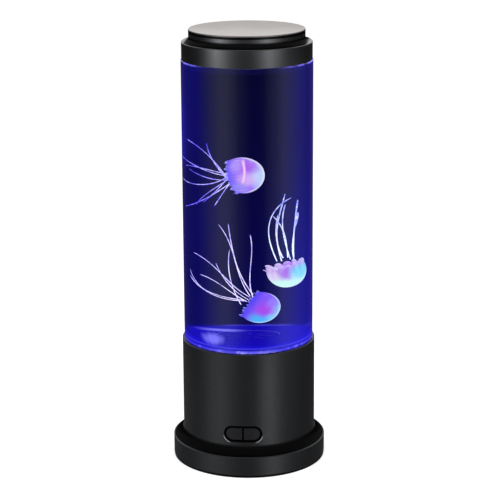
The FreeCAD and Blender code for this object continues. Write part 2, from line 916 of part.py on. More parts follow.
def makeGasket():
    inner = tubeInner - edgeBreak * 3
    outer = socketRadius - slipGap / 2
    return turned("tank_gasket", [
        (inner, deckTop), (outer, deckTop), (outer, tankBottom), (inner, tankBottom)])


def makeTube():
    edge = edgeBreak * 0.8
    return turned("tank_tube", [
        (tubeInner, tankBottom), (tubeRadius, tankBottom), (tubeRadius, tankTop - edge),
        (tubeRadius - edge, tankTop), (tubeInner, tankTop)])


def makeTankFloor():
    radius = tubeInner - size("bearingGap")
    edge = size("floorEdge")
    seat = guardRadius + slipGap
    well = size("wellRadius")
    pin = size("axlePin") + size("bearingGap") / 2
    return turned("tank_floor", [
        (0, tankBottom), (radius, tankBottom), (radius, floorTop - edge),
        (radius - edge, floorTop), (seat, floorTop), (seat, guardBottom), (well, guardBottom),
        (well, wellFloor), (pin, wellFloor), (pin, axleBottom), (0, axleBottom)])


def makeAxle():
    return upright("impeller_axle", axleBottom, axleTop - axleBottom,
                   lambda sketch: circle(sketch, 0, 0, size("axlePin")))


# Impeller: a magnet plate with swept vanes on top
def makeImpeller():
    bore = size("axlePin") + size("bearingGap")
    hub = size("wheelHub")
    vaneTop = wheelTop + size("vaneHeight")
    body = turned("impeller_wheel", [
        (bore, wheelBottom), (wheelRadius, wheelBottom), (wheelRadius, wheelTop), (hub, wheelTop),
        (hub, vaneTop), (bore, vaneTop)])
    start = hub - edgeBreak
    reach = wheelRadius - edgeBreak
    wall = size("vaneWall")
    curve = size("vaneCurve")
    tip = polar(reach, 42.0)
    tipBack = polar(reach, 48.0)
    sketch = sketchOn(body, "XY_Plane", wheelTop)
    outline(sketch, [
        (start, -wall / 2), tip + (curve,), tipBack, (start, wall / 2, -(curve - wall))])
    around(body, pad(body, sketch, size("vaneHeight")), size("vaneCount"))
    roundHoles(body, wheelBottom, size("wheelMagnetHeight"), size("magnetRing"),
               size("wheelMagnet"), 4)
    return body


def makeGuard():
    pin = size("axlePin") + size("bearingGap") / 2
    body = turned("impeller_guard", [
        (pin, guardBottom), (guardRadius, guardBottom), (guardRadius, floorTop), (0, floorTop),
        (0, axleTop), (pin, axleTop)])
    half = size("slotWidth") / 2
    inner = size("wheelHub") * 2
    outer = size("wellRadius") - edgeBreak * 2 - half
    sketch = sketchOn(body, "XY_Plane", guardBottom)
    outline(sketch, [
        (inner, -half, half), (outer, -half), (outer, half, half), (inner, half)])
    around(body, pocket(body, sketch, size("guardThickness"), backward=True), size("slotCount"))
    return body


# Lid: a stepped outer shell, a plug that dips into the tube, its seal and a metal disc
shellBore = lidRadius - size("lidSkirtWall")
plugTop = tankTop + size("lidWall") * 1.1
plugRadius = tubeInner - size("plugGap")
sealLow = tankTop - size("plugDepth") / 2 - size("sealWidth") / 2
sealHigh = sealLow + size("sealWidth")
sealInner = plugRadius - size("sealWidth") / 2


def makeLidShell():
    wall = size("lidWall")
    cove = size("lidCove")
    foot = lidTopRadius + cove
    return turned("lid_shell", [
        (shellBore, tankTop), (lidRadius, tankTop), (lidRadius, lidLedge - edgeBreak),
        (lidRadius - edgeBreak, lidLedge), (foot, lidLedge),
        (lidTopRadius, lidLedge + cove, -cove), (lidTopRadius, discBottom),
        (0, discBottom), (0, discBottom - wall), (lidTopRadius - wall, discBottom - wall),
        (lidTopRadius - wall, lidLedge - wall), (shellBore, lidLedge - wall)])


def makeLidPlug():
    low = tankTop - size("plugDepth")
    wall = size("plugWall")
    bevel = edgeBreak * 1.6
    return turned("lid_plug", [
        (0, low), (plugRadius - bevel, low), (plugRadius, low + bevel), (plugRadius, sealLow),
        (sealInner, sealLow), (sealInner, sealHigh), (plugRadius, sealHigh),
        (plugRadius, tankTop), (shellBore, tankTop), (shellBore, plugTop),
        (plugRadius - wall, plugTop),
        (plugRadius - wall, low + wall), (0, low + wall)])


def makeLidSeal():
    proud = tubeInner - size("sealProud")
    bulge = size("sealWidth") / 2
    return turned("lid_seal", [
        (sealInner, sealLow), (plugRadius, sealLow), (proud, sealLow + bulge / 2),
        (proud, sealHigh - bulge / 2), (plugRadius, sealHigh), (sealInner, sealHigh)])


def makeLidDisc():
    radius = lidTopRadius - size("discInset")
    bevel = size("discBevel")
    return turned("lid_disc", [
        (0, discBottom), (radius, discBottom), (radius, lampTop - bevel),
        (radius - bevel, lampTop), (0, lampTop)])


# Jellyfish. Each is built in a frame of its own: X to the viewer's right, Y away, Z up.
# A strand is (across, heading, length, bend, swing): where it leaves the frill, then its
# heading in degrees, which turns by bend along its length and by swing with its square.
viewTurn = 5.3
strandSteps = 9

jellyfish = {
    "upper": {
        "middle": (-2.3, -4.0, 229.9), "apex": 13.0, "strandWidth": 0.5, "spread": 12.0,
        "strands": [
            (-6, 122, 36, 10, 30), (-3, 121, 24, -12, -15), (-5, 166, 28, -9, 26),
            (-1, 170, 32, -67, 52), (0, 185, 27, -61, 29), (2, 218, 33, -90, 20),
            (1, 220, 28, -15, 29), (7, 223, 32, 3, -29), (6, 238, 17, 2, -4),
            (4, 240, 21, -12, 0)]},
    "right": {
        "middle": (20.7, 4.0, 149.7), "apex": -85.0, "strandWidth": 0.8, "spread": 8.0,
        "strands": [
            (3, 108, 54, -9, -72), (1, 111, 51, -74, 43), (0, 103, 36, -8, -17),
            (-2, 95, 34, -7, 39), (-5, 104, 44, -6, -23), (-6, 93, 45, -18, 9),
            (-7, 98, 37, -46, 27)]},
    "lower": {
        "middle": (6.7, -2.0, 124.5), "apex": -50.0, "strandWidth": 0.55, "spread": 13.0,
        "strands": [
            (-4, 102, 47, -64, 63), (-3, 118, 55, -45, 22), (6, 112, 43, -26, -4),
            (-1, 115, 56, -62, 67), (1, 142, 34, -46, 13), (1, 139, 45, -68, 83),
            (3, 144, 35, -40, 62), (6, 172, 35, -20, -40), (5, 176, 47, -64, 3)]},
}


def bellPlacement(jelly):
    # the bell's own Z is its apex, laid over in the viewer's upright plane
    tilt = FreeCAD.Rotation(FreeCAD.Vector(0, 1, 0), 90.0 - jelly["apex"])
    spin = FreeCAD.Rotation(FreeCAD.Vector(0, 0, 1), viewTurn)
    right, away, up = jelly["middle"]
    base = spin.multVec(FreeCAD.Vector(right, away, 0)) + FreeCAD.Vector(0, 0, up)
    return FreeCAD.Placement(base, spin * tilt)


def makeBell(name, jelly):
    radius = size("%sRadius" % name)
    rim = radius - size("rimInset")
    half = size("%sHeight" % name) / 2
    wall = size("bellWall")
    waist = half - radius
    body = turned("%s_bell" % name, [
        (rim - wall, -half, -radius * 4), (rim, -half), (radius, waist, radius * 4),
        (0, half, radius), (0, half - wall), (radius - wall, waist, -(radius - wall))])
    body.Placement = bellPlacement(jelly)
    return body


def makeFrill(name, jelly):
    rim = size("%sRadius" % name) - size("rimInset")
    top = size("%sHeight" % name) / -2
    low = top - size("frillThickness")
    lobe = rim * 0.24
    edge = rim + lobe * 0.7
    body = turned("%s_frill" % name, [(0, low), (edge, low), (edge, top), (0, top)])
    sketch = sketchOn(body, "XY_Plane", low)
    circle(sketch, edge + lobe * 0.55, 0, lobe)
    cut = pocket(body, sketch, size("frillThickness"), backward=True)
    around(body, cut, size("frillLobes"))
    body.Placement = bellPlacement(jelly)
    return body


def offTheWall(jelly, point):
    # a strand that would meet the tank wall lies along it instead
    right, away = jelly["middle"][:2]
    reach = math.hypot(right + point.x, away + point.y)
    limit = tubeInner.value - size("wallClearance").value
    if reach > limit:
        share = limit / reach
        point.x = (right + point.x) * share - right
        point.y = (away + point.y) * share - away
    return point


def strandPath(name, jelly, index, strand):
    across, heading, length, bend, swing = strand
    apex = math.radians(jelly["apex"])
    reach = size("%sHeight" % name).value / 2 + size("frillThickness").value
    root = size("%sRadius" % name).value - size("rimInset").value - size("rootInset").value
    side = 1 if index % 2 else -1
    rootDepth = side * math.sqrt(root ** 2 - min(abs(across), root * 0.9) ** 2)
    tipDepth = side * jelly["spread"] * (0.35 + 0.65 * ((index * 3) % 5) / 4)
    right = -math.cos(apex) * reach + math.sin(apex) * across
    up = -math.sin(apex) * reach - math.cos(apex) * across
    points = [FreeCAD.Vector(right, rootDepth, up)]
    step = length / strandSteps
    for turn in range(strandSteps):
        along = (turn + 0.5) / strandSteps
        angle = math.radians(heading + bend * along + swing * along ** 2)
        right += math.cos(angle) * step
        up += math.sin(angle) * step
        share = (turn + 1) / strandSteps
        depth = rootDepth + (tipDepth - rootDepth) * share
        points.append(offTheWall(jelly, FreeCAD.Vector(right, depth, up)))
    return points


def strandSolid(name, jelly, index, strand):
    points = strandPath(name, jelly, index, strand)
    apex = math.radians(jelly["apex"])
    rings = []
    for place, point in enumerate(points):
        if place == 0:
            # the root lies flat on the frill
            side = FreeCAD.Vector(math.sin(apex), 0, -math.cos(apex))
            deep = FreeCAD.Vector(0, 1, 0)
        else:
            along = (points[min(place + 1, strandSteps)] - points[place - 1]).normalize()
            side = FreeCAD.Vector(0, 1, 0).cross(along).normalize()
            deep = along.cross(side)
        share = 1 - (1 - size("strandTip").value) * place / strandSteps
        wide = side * jelly["strandWidth"] * share
        thick = deep * size("strandDepth").value * share
        corners = [point + wide, point + thick, point - wide, point - thick]
        rings.append(Part.makePolygon(corners + corners[:1]))
    return Part.makeLoft(rings, True, True)


def makeStrands(name, jelly):
    solids = [strandSolid(name, jelly, index, strand)
              for index, strand in enumerate(jelly["strands"])]
    strands = doc.addObject("Part::Feature", "Strands")
    strands.Label = "%s_strands" % name
    strands.Shape = Part.makeCompound(solids)
    right, away, up = jelly["middle"]
    spin = FreeCAD.Rotation(FreeCAD.Vector(0, 0, 1), viewTurn)
    base = spin.multVec(FreeCAD.Vector(right, away, 0)) + FreeCAD.Vector(0, 0, up)
    strands.Placement = FreeCAD.Placement(base, spin)
    return strands


nodes = [
    makeFlange(),
    makeBottomPlate(),
    makeFeet(),
    makeScrews("bottom_screws", plateBottom + screwHeadHeight, pillarRing, size("screwLength"),
               screwCount, screwTurn, headUp=False),
    makeHousing(),
    makeKey("button_left", -1),
    makeKey("button_right", 1),
    makeControlBoard(),
    makeSwitches(),
    makeInlet(),
    makeInletPin(),
    makeInletNut(),
    makeBracket(),
    makeScrews("bracket_screws", motorTop + size("bracketThickness"), pillarRing,
               size("screwLength"), 2, 0.0),
    makeMotorCan(),
    makeMotorEnd(),
    makeMotorTabs(),
    makeScrews("motor_screws", motorTop + size("bracketThickness"), motorScrewRing,
               size("screwLength") / 3 + size("bracketThickness") - slipGap, 2, 0.0),
    makeShaft(),
    makeCarrier(),
    ringOfDiscs("drive_magnets", carrierTop - size("magnetHeight"), size("magnetHeight"),
                size("magnetRing"), size("magnetRadius"), 4),
    makeLedBoard(),
    makeLeds(),
    makeReflector(),
    makeScrews("light_screws", lightLevel + size("reflectorWall"), pillarRing,
               size("screwLength"), screwCount, screwTurn),
    makeDiffuser(),
    makeGasket(),
    makeTube(),
    makeTankFloor(),
    makeAxle(),
    makeImpeller(),
    ringOfDiscs("impeller_magnets", wheelBottom, size("wheelMagnetHeight"), size("magnetRing"),
                size("wheelMagnet"), 4),
    makeGuard(),
    makeLidShell(),
    makeLidPlug(),
    makeLidSeal(),
    makeLidDisc(),
]
for name, jelly in jellyfish.items():
    nodes += [makeBell(name, jelly), makeFrill(name, jelly), makeStrands(name, jelly)]

doc.recompute()

faults = []
for thing in doc.Objects:
    if "Invalid" in thing.State or "Error" in thing.State:
        faults.append("%s in %s: %s" % (thing.Name, [p.Label for p in thing.InList], thing.State))
    if thing.TypeId in ("PartDesign::Pocket", "PartDesign::Groove"):
        if thing.Shape.isNull() or thing.BaseFeature.Shape.isNull():
            faults.append("%s has no shape" % thing.Name)
        elif thing.Shape.Volume >= thing.BaseFeature.Shape.Volume:
            faults.append("%s cuts nothing" % thing.Name)
for node in nodes:
    if node.Shape.isNull() or not node.Shape.isValid() or not node.Shape.Solids:
        faults.append("%s has no sound shape" % node.Label)
if faults:
    raise RuntimeError("; ".join(faults))

os.makedirs("parts", exist_ok=True)
for node in nodes:
    node.Shape.exportStep("parts/%s.step" % node.Label)
print("wrote %d pieces" % len(nodes))
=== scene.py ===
import bpy, bmesh, math
from mathutils import Matrix, Vector


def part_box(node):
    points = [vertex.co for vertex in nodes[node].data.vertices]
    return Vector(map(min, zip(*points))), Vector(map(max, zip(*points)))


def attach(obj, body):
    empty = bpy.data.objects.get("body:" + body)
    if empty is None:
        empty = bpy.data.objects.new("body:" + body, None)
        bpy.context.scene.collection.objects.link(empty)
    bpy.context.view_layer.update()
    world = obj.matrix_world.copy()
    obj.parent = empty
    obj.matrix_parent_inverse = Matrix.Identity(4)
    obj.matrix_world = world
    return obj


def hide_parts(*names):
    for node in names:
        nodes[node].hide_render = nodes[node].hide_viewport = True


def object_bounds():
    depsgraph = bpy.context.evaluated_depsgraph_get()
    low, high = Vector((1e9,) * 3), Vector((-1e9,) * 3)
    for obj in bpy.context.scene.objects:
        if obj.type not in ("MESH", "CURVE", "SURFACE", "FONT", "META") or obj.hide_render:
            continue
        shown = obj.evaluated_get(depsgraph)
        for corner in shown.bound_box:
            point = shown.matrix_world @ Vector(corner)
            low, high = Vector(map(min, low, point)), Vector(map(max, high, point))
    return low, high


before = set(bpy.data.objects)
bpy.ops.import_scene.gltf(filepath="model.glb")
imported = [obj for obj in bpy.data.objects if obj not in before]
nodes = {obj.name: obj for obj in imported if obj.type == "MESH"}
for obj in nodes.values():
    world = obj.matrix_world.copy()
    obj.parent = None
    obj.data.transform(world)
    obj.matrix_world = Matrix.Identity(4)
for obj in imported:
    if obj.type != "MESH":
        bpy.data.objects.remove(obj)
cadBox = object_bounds()
viewTurn = 5.3  # degrees round the lamp from its front to the camera
print("frame loaded:", len(nodes), "nodes")


class Wire:
    # an output socket: arithmetic on it adds Math nodes to its finish
    def __init__(self, finish, socket):
        self.finish = finish
        self.socket = socket

    def __add__(self, other):
        return self.finish.sums("ADD", self, other)

    def __sub__(self, other):
        return self.finish.sums("SUBTRACT", self, other)

    def __rsub__(self, other):
        return self.finish.sums("SUBTRACT", other, self)

    def __mul__(self, other):
        return self.finish.sums("MULTIPLY", self, other)

    def __truediv__(self, other):
        return self.finish.sums("DIVIDE", self, other)

    def __rtruediv__(self, other):
        return self.finish.sums("DIVIDE", other, self)

    __radd__ = __add__
    __rmul__ = __mul__


class Finish:
    # the nodes of one material, or of the world round the lamp
    def __init__(self, name, kind="materials"):
        self.owner = getattr(bpy.data, kind).new(name)
        self.owner.use_nodes = True
        self.tree = self.owner.node_tree
        self.tree.nodes.clear()

    def add(self, kind, settings=None, sockets=None, output=0):
        made = self.tree.nodes.new(kind)
        for name, value in (settings or {}).items():
            if name == "stops":
                self.setStops(made.color_ramp, value)
            else:
                setattr(made, name, value)
        for name, value in (sockets or {}).items():
            if isinstance(value, Wire):
                self.tree.links.new(value.socket, made.inputs[name])
            else:
                made.inputs[name].default_value = value
        return Wire(self, made.outputs[output]) if len(made.outputs) else made

    def setStops(self, ramp, stops):
        while len(ramp.elements) < len(stops):
            ramp.elements.new(0.5)
        for element, (place, colour) in zip(ramp.elements, stops):
            element.position = place
            element.color = (*colour, 1)

    def outputOf(self, wire, name):
        return Wire(self, wire.socket.node.outputs[name])

    def sums(self, operation, *values):
        return self.add("ShaderNodeMath", {"operation": operation}, dict(enumerate(values)))

    def size(self, value):
        return self.sums("ABSOLUTE", value)

    def length(self, first, second):
        return self.sums("SQRT", first * first + second * second)

    def ease(self, value, low, high):
        # 0 below low and 1 above high, with soft ends
        sockets = {"Value": value, "From Min": low, "From Max": high}
        return self.add("ShaderNodeMapRange", {"interpolation_type": "SMOOTHSTEP"}, sockets)

    def fade(self, value, low, high):
        return 1 - self.ease(value, low, high)

    def between(self, value, rise, fall):
        # 1 from the end of the rise to the start of the fall
        return self.ease(value, *rise) * self.fade(value, *fall)

    def blend(self, share, first, second):
        return self.add("ShaderNodeMix", {"data_type": "RGBA"},
                        {0: share, 6: colour(first), 7: colour(second)}, 2)

    def tint(self, first, second):
        return self.add("ShaderNodeMix", {"data_type": "RGBA", "blend_type": "MULTIPLY"},
                        {0: 1.0, 6: colour(first), 7: colour(second)}, 2)

    def darken(self, tone, share, shade=(0, 0, 0)):
        return self.tint(tone, self.blend(share, (1, 1, 1), shade))

    def steps(self, value, stops):
        return self.add("ShaderNodeValToRGB", {"stops": stops}, {"Fac": value})

    def place(self, kind="Object"):
        return self.add("ShaderNodeTexCoord", None, None, kind)

    def split(self, vector):
        first = self.add("ShaderNodeSeparateXYZ", None, {0: vector})
        return [self.outputOf(first, axis) for axis in ("X", "Y", "Z")]

    def facingUp(self):
        return self.split(self.add("ShaderNodeNewGeometry", None, None, "Normal"))[2]

    def grazing(self):
        return self.add("ShaderNodeLayerWeight", None, {"Blend": 0.5}, "Facing")

    def stretched(self, vector, scale):
        return self.add("ShaderNodeMapping", None, {"Vector": vector, "Scale": scale})

    def noise(self, vector, scale, detail=3.0, roughness=0.5):
        return self.add("ShaderNodeTexNoise", None,
                        {"Vector": vector, "Scale": scale, "Detail": detail,
                         "Roughness": roughness})

    def bump(self, height, distance):
        return self.add("ShaderNodeBump", None,
                        {"Height": height, "Distance": distance, "Strength": 1.0})

    def principled(self, sockets):
        return self.add("ShaderNodeBsdfPrincipled", None, sockets)

    def mixed(self, share, first, second):
        return self.add("ShaderNodeMixShader", None, {0: share, 1: first, 2: second})

    def surface(self, shader):
        self.add("ShaderNodeOutputMaterial", None, {"Surface": shader})
        return self.owner


def colour(value):
    # three numbers become a colour, wires pass through
    return (*value, 1.0) if isinstance(value, tuple) else value


def screen(red, green, blue):
    # screen colour from 0 to 255, as linear light
    parts = []
    for value in (red, green, blue):
        share = value / 255
        parts.append(share / 12.92 if share <= 0.04045 else ((share + 0.055) / 1.055) ** 2.4)
    return tuple(parts)


def dress(names, material):
    for name in names:
        for slot in nodes[name].material_slots:
            slot.material = material


def linked(name, data):
    made = bpy.data.objects.new(name, data)
    bpy.context.scene.collection.objects.link(made)
    return made


def bakedMesh(name, build):
    mesh = bpy.data.meshes.new(name)
    build.to_mesh(mesh)
    build.free()
    return mesh


def makeObject(name, mesh, material, body, replaced=(), place=Matrix.Identity(4)):
    made = linked(name, mesh)
    made.data.materials.append(material)
    for polygon in mesh.polygons:
        polygon.use_smooth = True
    made.matrix_world = place
    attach(made, body)
    if replaced:
        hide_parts(*replaced)


def turnedMesh(name, profile, turns=144, inward=False, crease=35):
    # a profile of radius and height swept about the lamp's axis
    build = bmesh.new()
    rings = []
    for radius, height in profile:
        if radius == 0:
            rings.append([build.verts.new((0, 0, height))])
            continue
        angles = [2 * math.pi * index / turns for index in range(turns)]
        rings.append([build.verts.new((radius * math.cos(angle), radius * math.sin(angle), height))
                      for angle in angles])
    for low, high in zip(rings, rings[1:]):
        for index in range(turns):
            after = (index + 1) % turns
            corners = [low[index % len(low)], low[after % len(low)],
                       high[after % len(high)], high[index % len(high)]]
            unique = list(dict.fromkeys(corners))
            if len(unique) > 2:
                build.faces.new(unique)
    bmesh.ops.recalc_face_normals(build, faces=build.faces)
    if inward:
        bmesh.ops.reverse_faces(build, faces=build.faces)
    mesh = bakedMesh(name, build)
    mesh.set_sharp_from_angle(angle=math.radians(crease))
    return mesh


def gridMesh(name, rows, caps=False):
    # closed rows of points joined into a skin; u runs round a row and v from row to row
    build = bmesh.new()
    layer = build.loops.layers.uv.new("UVMap")
    grid = [[build.verts.new(point) for point in row] for row in rows]
    count = len(grid[0])
    for rowIndex in range(len(grid) - 1):
        for index in range(count):
            after = (index + 1) % count
            face = build.faces.new((grid[rowIndex][index], grid[rowIndex][after],
                                    grid[rowIndex + 1][after], grid[rowIndex + 1][index]))
            spots = ((index, rowIndex), (index + 1, rowIndex),
                     (index + 1, rowIndex + 1), (index, rowIndex + 1))
            for loop, (across, along) in zip(face.loops, spots):
                loop[layer].uv = (across / count, along / (len(grid) - 1))
    if caps:
        for row, along in ((grid[0], 0.0), (grid[-1], 1.0)):
            face = build.faces.new(row)
            for loop in face.loops:
                loop[layer].uv = (0.5, along)
    bmesh.ops.recalc_face_normals(build, faces=build.faces)
    return bakedMesh(name, build)


def smoothStep(value, low, high):
    share = min(max((value - low) / (high - low), 0.0), 1.0)
    return share * share * (3 - 2 * share)


# black plastic of the lid, base and keys
plastics = {
    "lidGloss": {"colour": (0.0035, 0.0036, 0.0039), "roughness": 0.17, "specular": 1.0,
                 "grain": 0.000008},
    "baseGloss": {"colour": (0.0050, 0.0053, 0.0058), "roughness": 0.27, "specular": 0.45,
                  "grain": 0.000012},
    "keyBlack": {"colour": (0.008, 0.008, 0.009), "roughness": 0.36, "specular": 0.30,
                 "grain": 0.000020},
    "underside": {"colour": (0.012, 0.012, 0.012), "roughness": 0.5, "specular": 0.30,
                  "grain": 0.000030},
}
# scales of the noises, how far they move the roughness, and the painted shade in the groove and on
# the ledges
plasticWear = {"cloud": 22.0, "grain": 1500.0, "wisps": 90.0, "smudge": (0.52, 0.74),
               "uneven": 0.06, "smudged": 0.035, "lighter": 1.25,
               "shade": (0.0015, 0.0015, 0.0017, 1), "ledgeShare": 0.94}

# painted shade fills the groove, which reaches in over the keys and out to its width, with a
# painted glint beyond its lower corners
grooveLook = {"inner": 0.0008, "width": 0.0009, "soft": 0.0003, "front": (0.0, -0.01),
              "glintRise": (0.0002, 0.0005), "glintFall": (0.0007, 0.0012),
              "cornerAcross": (0.0008, 0.0035), "cornerDown": (-0.0012, -0.0038),
              "shine": (0.26, 0.26, 0.27)}

# painted shade on ledges, as radii, heights and how far to the sides they stay dark, a little
# inside their edges
ledges = {"lid": [{"radii": (0.0438, 0.0497), "heights": (0.3304, 0.3352), "sides": 0.0452},
                  # the second lid band is a painted shadow on the neck just under the disc
                  {"radii": (0.0430, 0.0452), "heights": (0.3373, 0.3404), "sides": 0.050}],
          "flange": [{"radii": (0.0515, 0.0594), "heights": (0.0120, 0.0237), "sides": 0.070}]}
ledgeSoft = {"low": 0.0002, "high": 0.0014, "inner": 0.0004, "outer": 0.0005, "sides": 0.003}


def keyGrooveShadeAndGlint(finish, across, away, up):
    # painted shade: 1 in the groove round the two keys; painted glint: 1 on the lit lower corners
    # of its rim
    look, width = grooveLook, grooveLook["width"]
    low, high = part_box("button_left")
    halfRise = (high.z - low.z) / 2
    straight = max(abs(low.x), abs(high.x)) - halfRise
    level = up - (low.z + high.z) / 2
    beyond = finish.sums("MAXIMUM", finish.size(across) - straight, 0.0)
    gap = finish.length(beyond, level) - halfRise
    front = finish.ease(away, *look["front"])
    paintedGroove = finish.between(gap, (-look["inner"], -look["inner"] + look["soft"]),
                            (width, width + look["soft"]))
    rimGlint = finish.between(gap, [width + part for part in look["glintRise"]],
                         [width + part for part in look["glintFall"]])
    corner = finish.ease(beyond, *look["cornerAcross"]) * finish.ease(level, *look["cornerDown"])
    return paintedGroove * front, rimGlint * corner * front


def ledgeShade(finish, across, away, up, bands):
    # painted shade: 1 on a ledge that only mirrors the dark wall standing on it, where a flat dark
    # is mixed in instead
    soft = ledgeSoft
    ring = finish.length(across, away)
    shade = 0.0
    for band in bands:
        inner, outer = band["radii"]
        low, high = band["heights"]
        level = finish.between(up, (low - soft["low"], low), (high - soft["high"], high))
        inside = finish.between(ring, (inner, inner + soft["inner"]),
                                (outer - soft["outer"], outer))
        ends = finish.fade(finish.size(across), band["sides"], band["sides"] + soft["sides"])
        shade = shade + inside * level * ends
    return shade * plasticWear["ledgeShare"]


def plasticFinish(name, look, paintedGroove=False, ledge=None):
    finish, wear = Finish(name), plasticWear
    spot = finish.place()
    cloudy = finish.noise(spot, wear["cloud"], 2.0)
    grain = finish.noise(spot, wear["grain"], 2.0, 0.6)
    wisps = finish.noise(finish.stretched(spot, (1, 1, 0.12)), wear["wisps"], 4.0, 0.62)
    lighter = tuple(part * wear["lighter"] for part in look["colour"])
    rough = look["roughness"] + (cloudy - 0.5) * wear["uneven"]
    rough = rough + finish.ease(wisps, *wear["smudge"]) * wear["smudged"]
    sockets = {"Base Color": finish.blend(cloudy, look["colour"], lighter), "Roughness": rough,
               "Specular IOR Level": look["specular"],
               "Normal": finish.bump(grain, look["grain"])}
    across, away, up = finish.split(spot)
    shade = None
    if paintedGroove:
        shade, rimGlint = keyGrooveShadeAndGlint(finish, across, away, up)
        # painted glint: the groove's lower corners glow
        sockets["Emission Color"] = finish.blend(rimGlint, (0, 0, 0), grooveLook["shine"])
        sockets["Emission Strength"] = 1.0
    if ledge:
        shade = ledgeShade(finish, across, away, up, ledge)
    shader = finish.principled(sockets)
    # painted shade: a flat dark diffuse mixed in over the groove and the ledges
    if shade:
        dark = finish.add("ShaderNodeBsdfDiffuse", None, {"Color": wear["shade"]})
        shader = finish.mixed(shade, shader, dark)
    return finish.surface(shader)


dress(["lid_shell"], plasticFinish("lid gloss black", plastics["lidGloss"], ledge=ledges["lid"]))
dress(["base_housing"], plasticFinish("housing gloss black", plastics["baseGloss"], paintedGroove=True))
dress(["base_flange"],
      plasticFinish("flange gloss black", plastics["baseGloss"], ledge=ledges["flange"]))
dress(["button_left", "button_right"],
      plasticFinish("key black", plastics["keyBlack"], paintedGroove=True))
dress(["bottom_plate", "lid_plug", "power_inlet"],
      plasticFinish("underside black", plastics["underside"]))
print("black plastic dressed")


def rubberFinish(name, shade, roughness):
    finish = Finish(name)
    spot = finish.place()
    pores = finish.noise(spot, 2600.0, 3.0, 0.7)
    dust = finish.ease(finish.noise(spot, 60.0, 4.0), 0.45, 0.8)
    base = finish.blend(dust, shade, tuple(part + 0.02 for part in shade))
    shader = finish.principled({
        "Base Color": base, "Roughness": roughness + dust * 0.1, "Specular IOR Level": 0.35,
        "Normal": finish.bump(pores, 0.00004)})
    return finish.surface(shader)


dress(["foot_pads"], rubberFinish("foot rubber", (0.014, 0.014, 0.014), 0.72))
dress(["tank_gasket", "lid_seal"], rubberFinish("seal silicone", (0.42, 0.43, 0.45), 0.5))


# satin metal disc of the lid, turned in fine rings, with painted shade darker to the back and on
# its edge
discLook = {"front": (0.67, 0.624, 0.594), "back": (0.43, 0.398, 0.378),
            "edge": (0.20, 0.185, 0.17), "roughness": 0.36, "shadeFromBack": (0.030, -0.042),
            "edgeShadeFacing": (0.55, 0.97), "rings": 5200.0, "ringDepth": 0.000004}


def discFinish():
    finish = Finish("lid disc satin metal")
    spot = finish.place()
    across, away, up = finish.split(spot)
    rings = finish.add("ShaderNodeTexNoise", {"noise_dimensions": "1D"},
                       {"W": finish.length(across, away), "Scale": discLook["rings"],
                        "Detail": 2.0})
    cloud = finish.noise(spot, 30.0, 3.0)
    # painted shade: darker to the back, and darker on the edge where the disc stops facing up
    base = finish.blend(finish.ease(away + (cloud - 0.5) * 0.03, *discLook["shadeFromBack"]),
                        discLook["back"], discLook["front"])
    base = finish.blend(finish.ease(finish.facingUp(), *discLook["edgeShadeFacing"]),
                        discLook["edge"], base)
    rough = discLook["roughness"] + (rings - 0.5) * 0.12 + (cloud - 0.5) * 0.05
    shader = finish.principled({
        "Base Color": base, "Metallic": 1.0, "Roughness": rough,
        "Normal": finish.bump(rings, discLook["ringDepth"])})
    return finish.surface(shader)


dress(["lid_disc"], discFinish())
print("rubber, seals and disc dressed")


# metals, boards and whites are for the inner parts, which show only when the lamp is open
def metalFinish(name, shade, roughness, grain):
    finish = Finish(name)
    spot = finish.place()
    drawn = finish.noise(finish.stretched(spot, (1, 1, 0.06)), grain, 3.0)
    stain = finish.noise(spot, 120.0, 3.0)
    base = finish.blend(stain, tuple(part * 0.82 for part in shade), shade)
    shader = finish.principled({
        "Base Color": base, "Metallic": 1.0, "Roughness": roughness + (drawn - 0.5) * 0.15,
        "Normal": finish.bump(drawn, 0.00001)})
    return finish.surface(shader)


def boardFinish(name, shade):
    finish = Finish(name)
    spot = finish.place()
    glassWeave = finish.noise(spot, 1800.0, 2.0)
    traces = finish.ease(finish.noise(finish.stretched(spot, (1, 0.1, 1)), 420.0, 1.0), 0.48, 0.53)
    base = finish.blend(traces * 0.55, shade, tuple(part * 1.6 for part in shade))
    shader = finish.principled({
        "Base Color": base, "Roughness": 0.38 + glassWeave * 0.12,
        "Normal": finish.bump(traces, 0.00003)})
    return finish.surface(shader)


def whiteFinish(name, shade, roughness):
    finish = Finish(name)
    spot = finish.place()
    cloud = finish.noise(spot, 45.0, 3.0)
    fine = finish.noise(spot, 1900.0, 2.0)
    base = finish.blend(cloud, tuple(part * 0.93 for part in shade), shade)
    shader = finish.principled({
        "Base Color": base, "Roughness": roughness + (cloud - 0.5) * 0.08,
        "Normal": finish.bump(fine, 0.00001)})
    return finish.surface(shader)


dress(["bottom_screws", "bracket_screws", "light_screws", "motor_screws"],
      metalFinish("zinc steel", (0.56, 0.57, 0.58), 0.34, 900.0))
dress(["motor_can", "motor_shaft", "motor_bracket", "drive_magnets", "impeller_axle",
       "impeller_magnets"], metalFinish("bright steel", (0.62, 0.61, 0.60), 0.26, 1400.0))
dress(["inlet_pin", "inlet_nut", "motor_tabs"],
      metalFinish("brass", (0.74, 0.55, 0.25), 0.30, 1200.0))
dress(["control_board"], boardFinish("green board", (0.012, 0.10, 0.035)))
dress(["led_board"], boardFinish("white board", (0.62, 0.62, 0.60)))
dress(["motor_endcap", "tact_switches"],
      plasticFinish("moulded black", plastics["underside"]))
dress(["light_chips"], whiteFinish("light chip", (0.80, 0.78, 0.60), 0.4))
dress(["light_reflector", "magnet_carrier"], whiteFinish("gloss white", (0.78, 0.78, 0.78), 0.25))
dress(["diffuser_plate"], whiteFinish("opal sheet", (0.80, 0.82, 0.86), 0.55))
print("inner parts dressed")


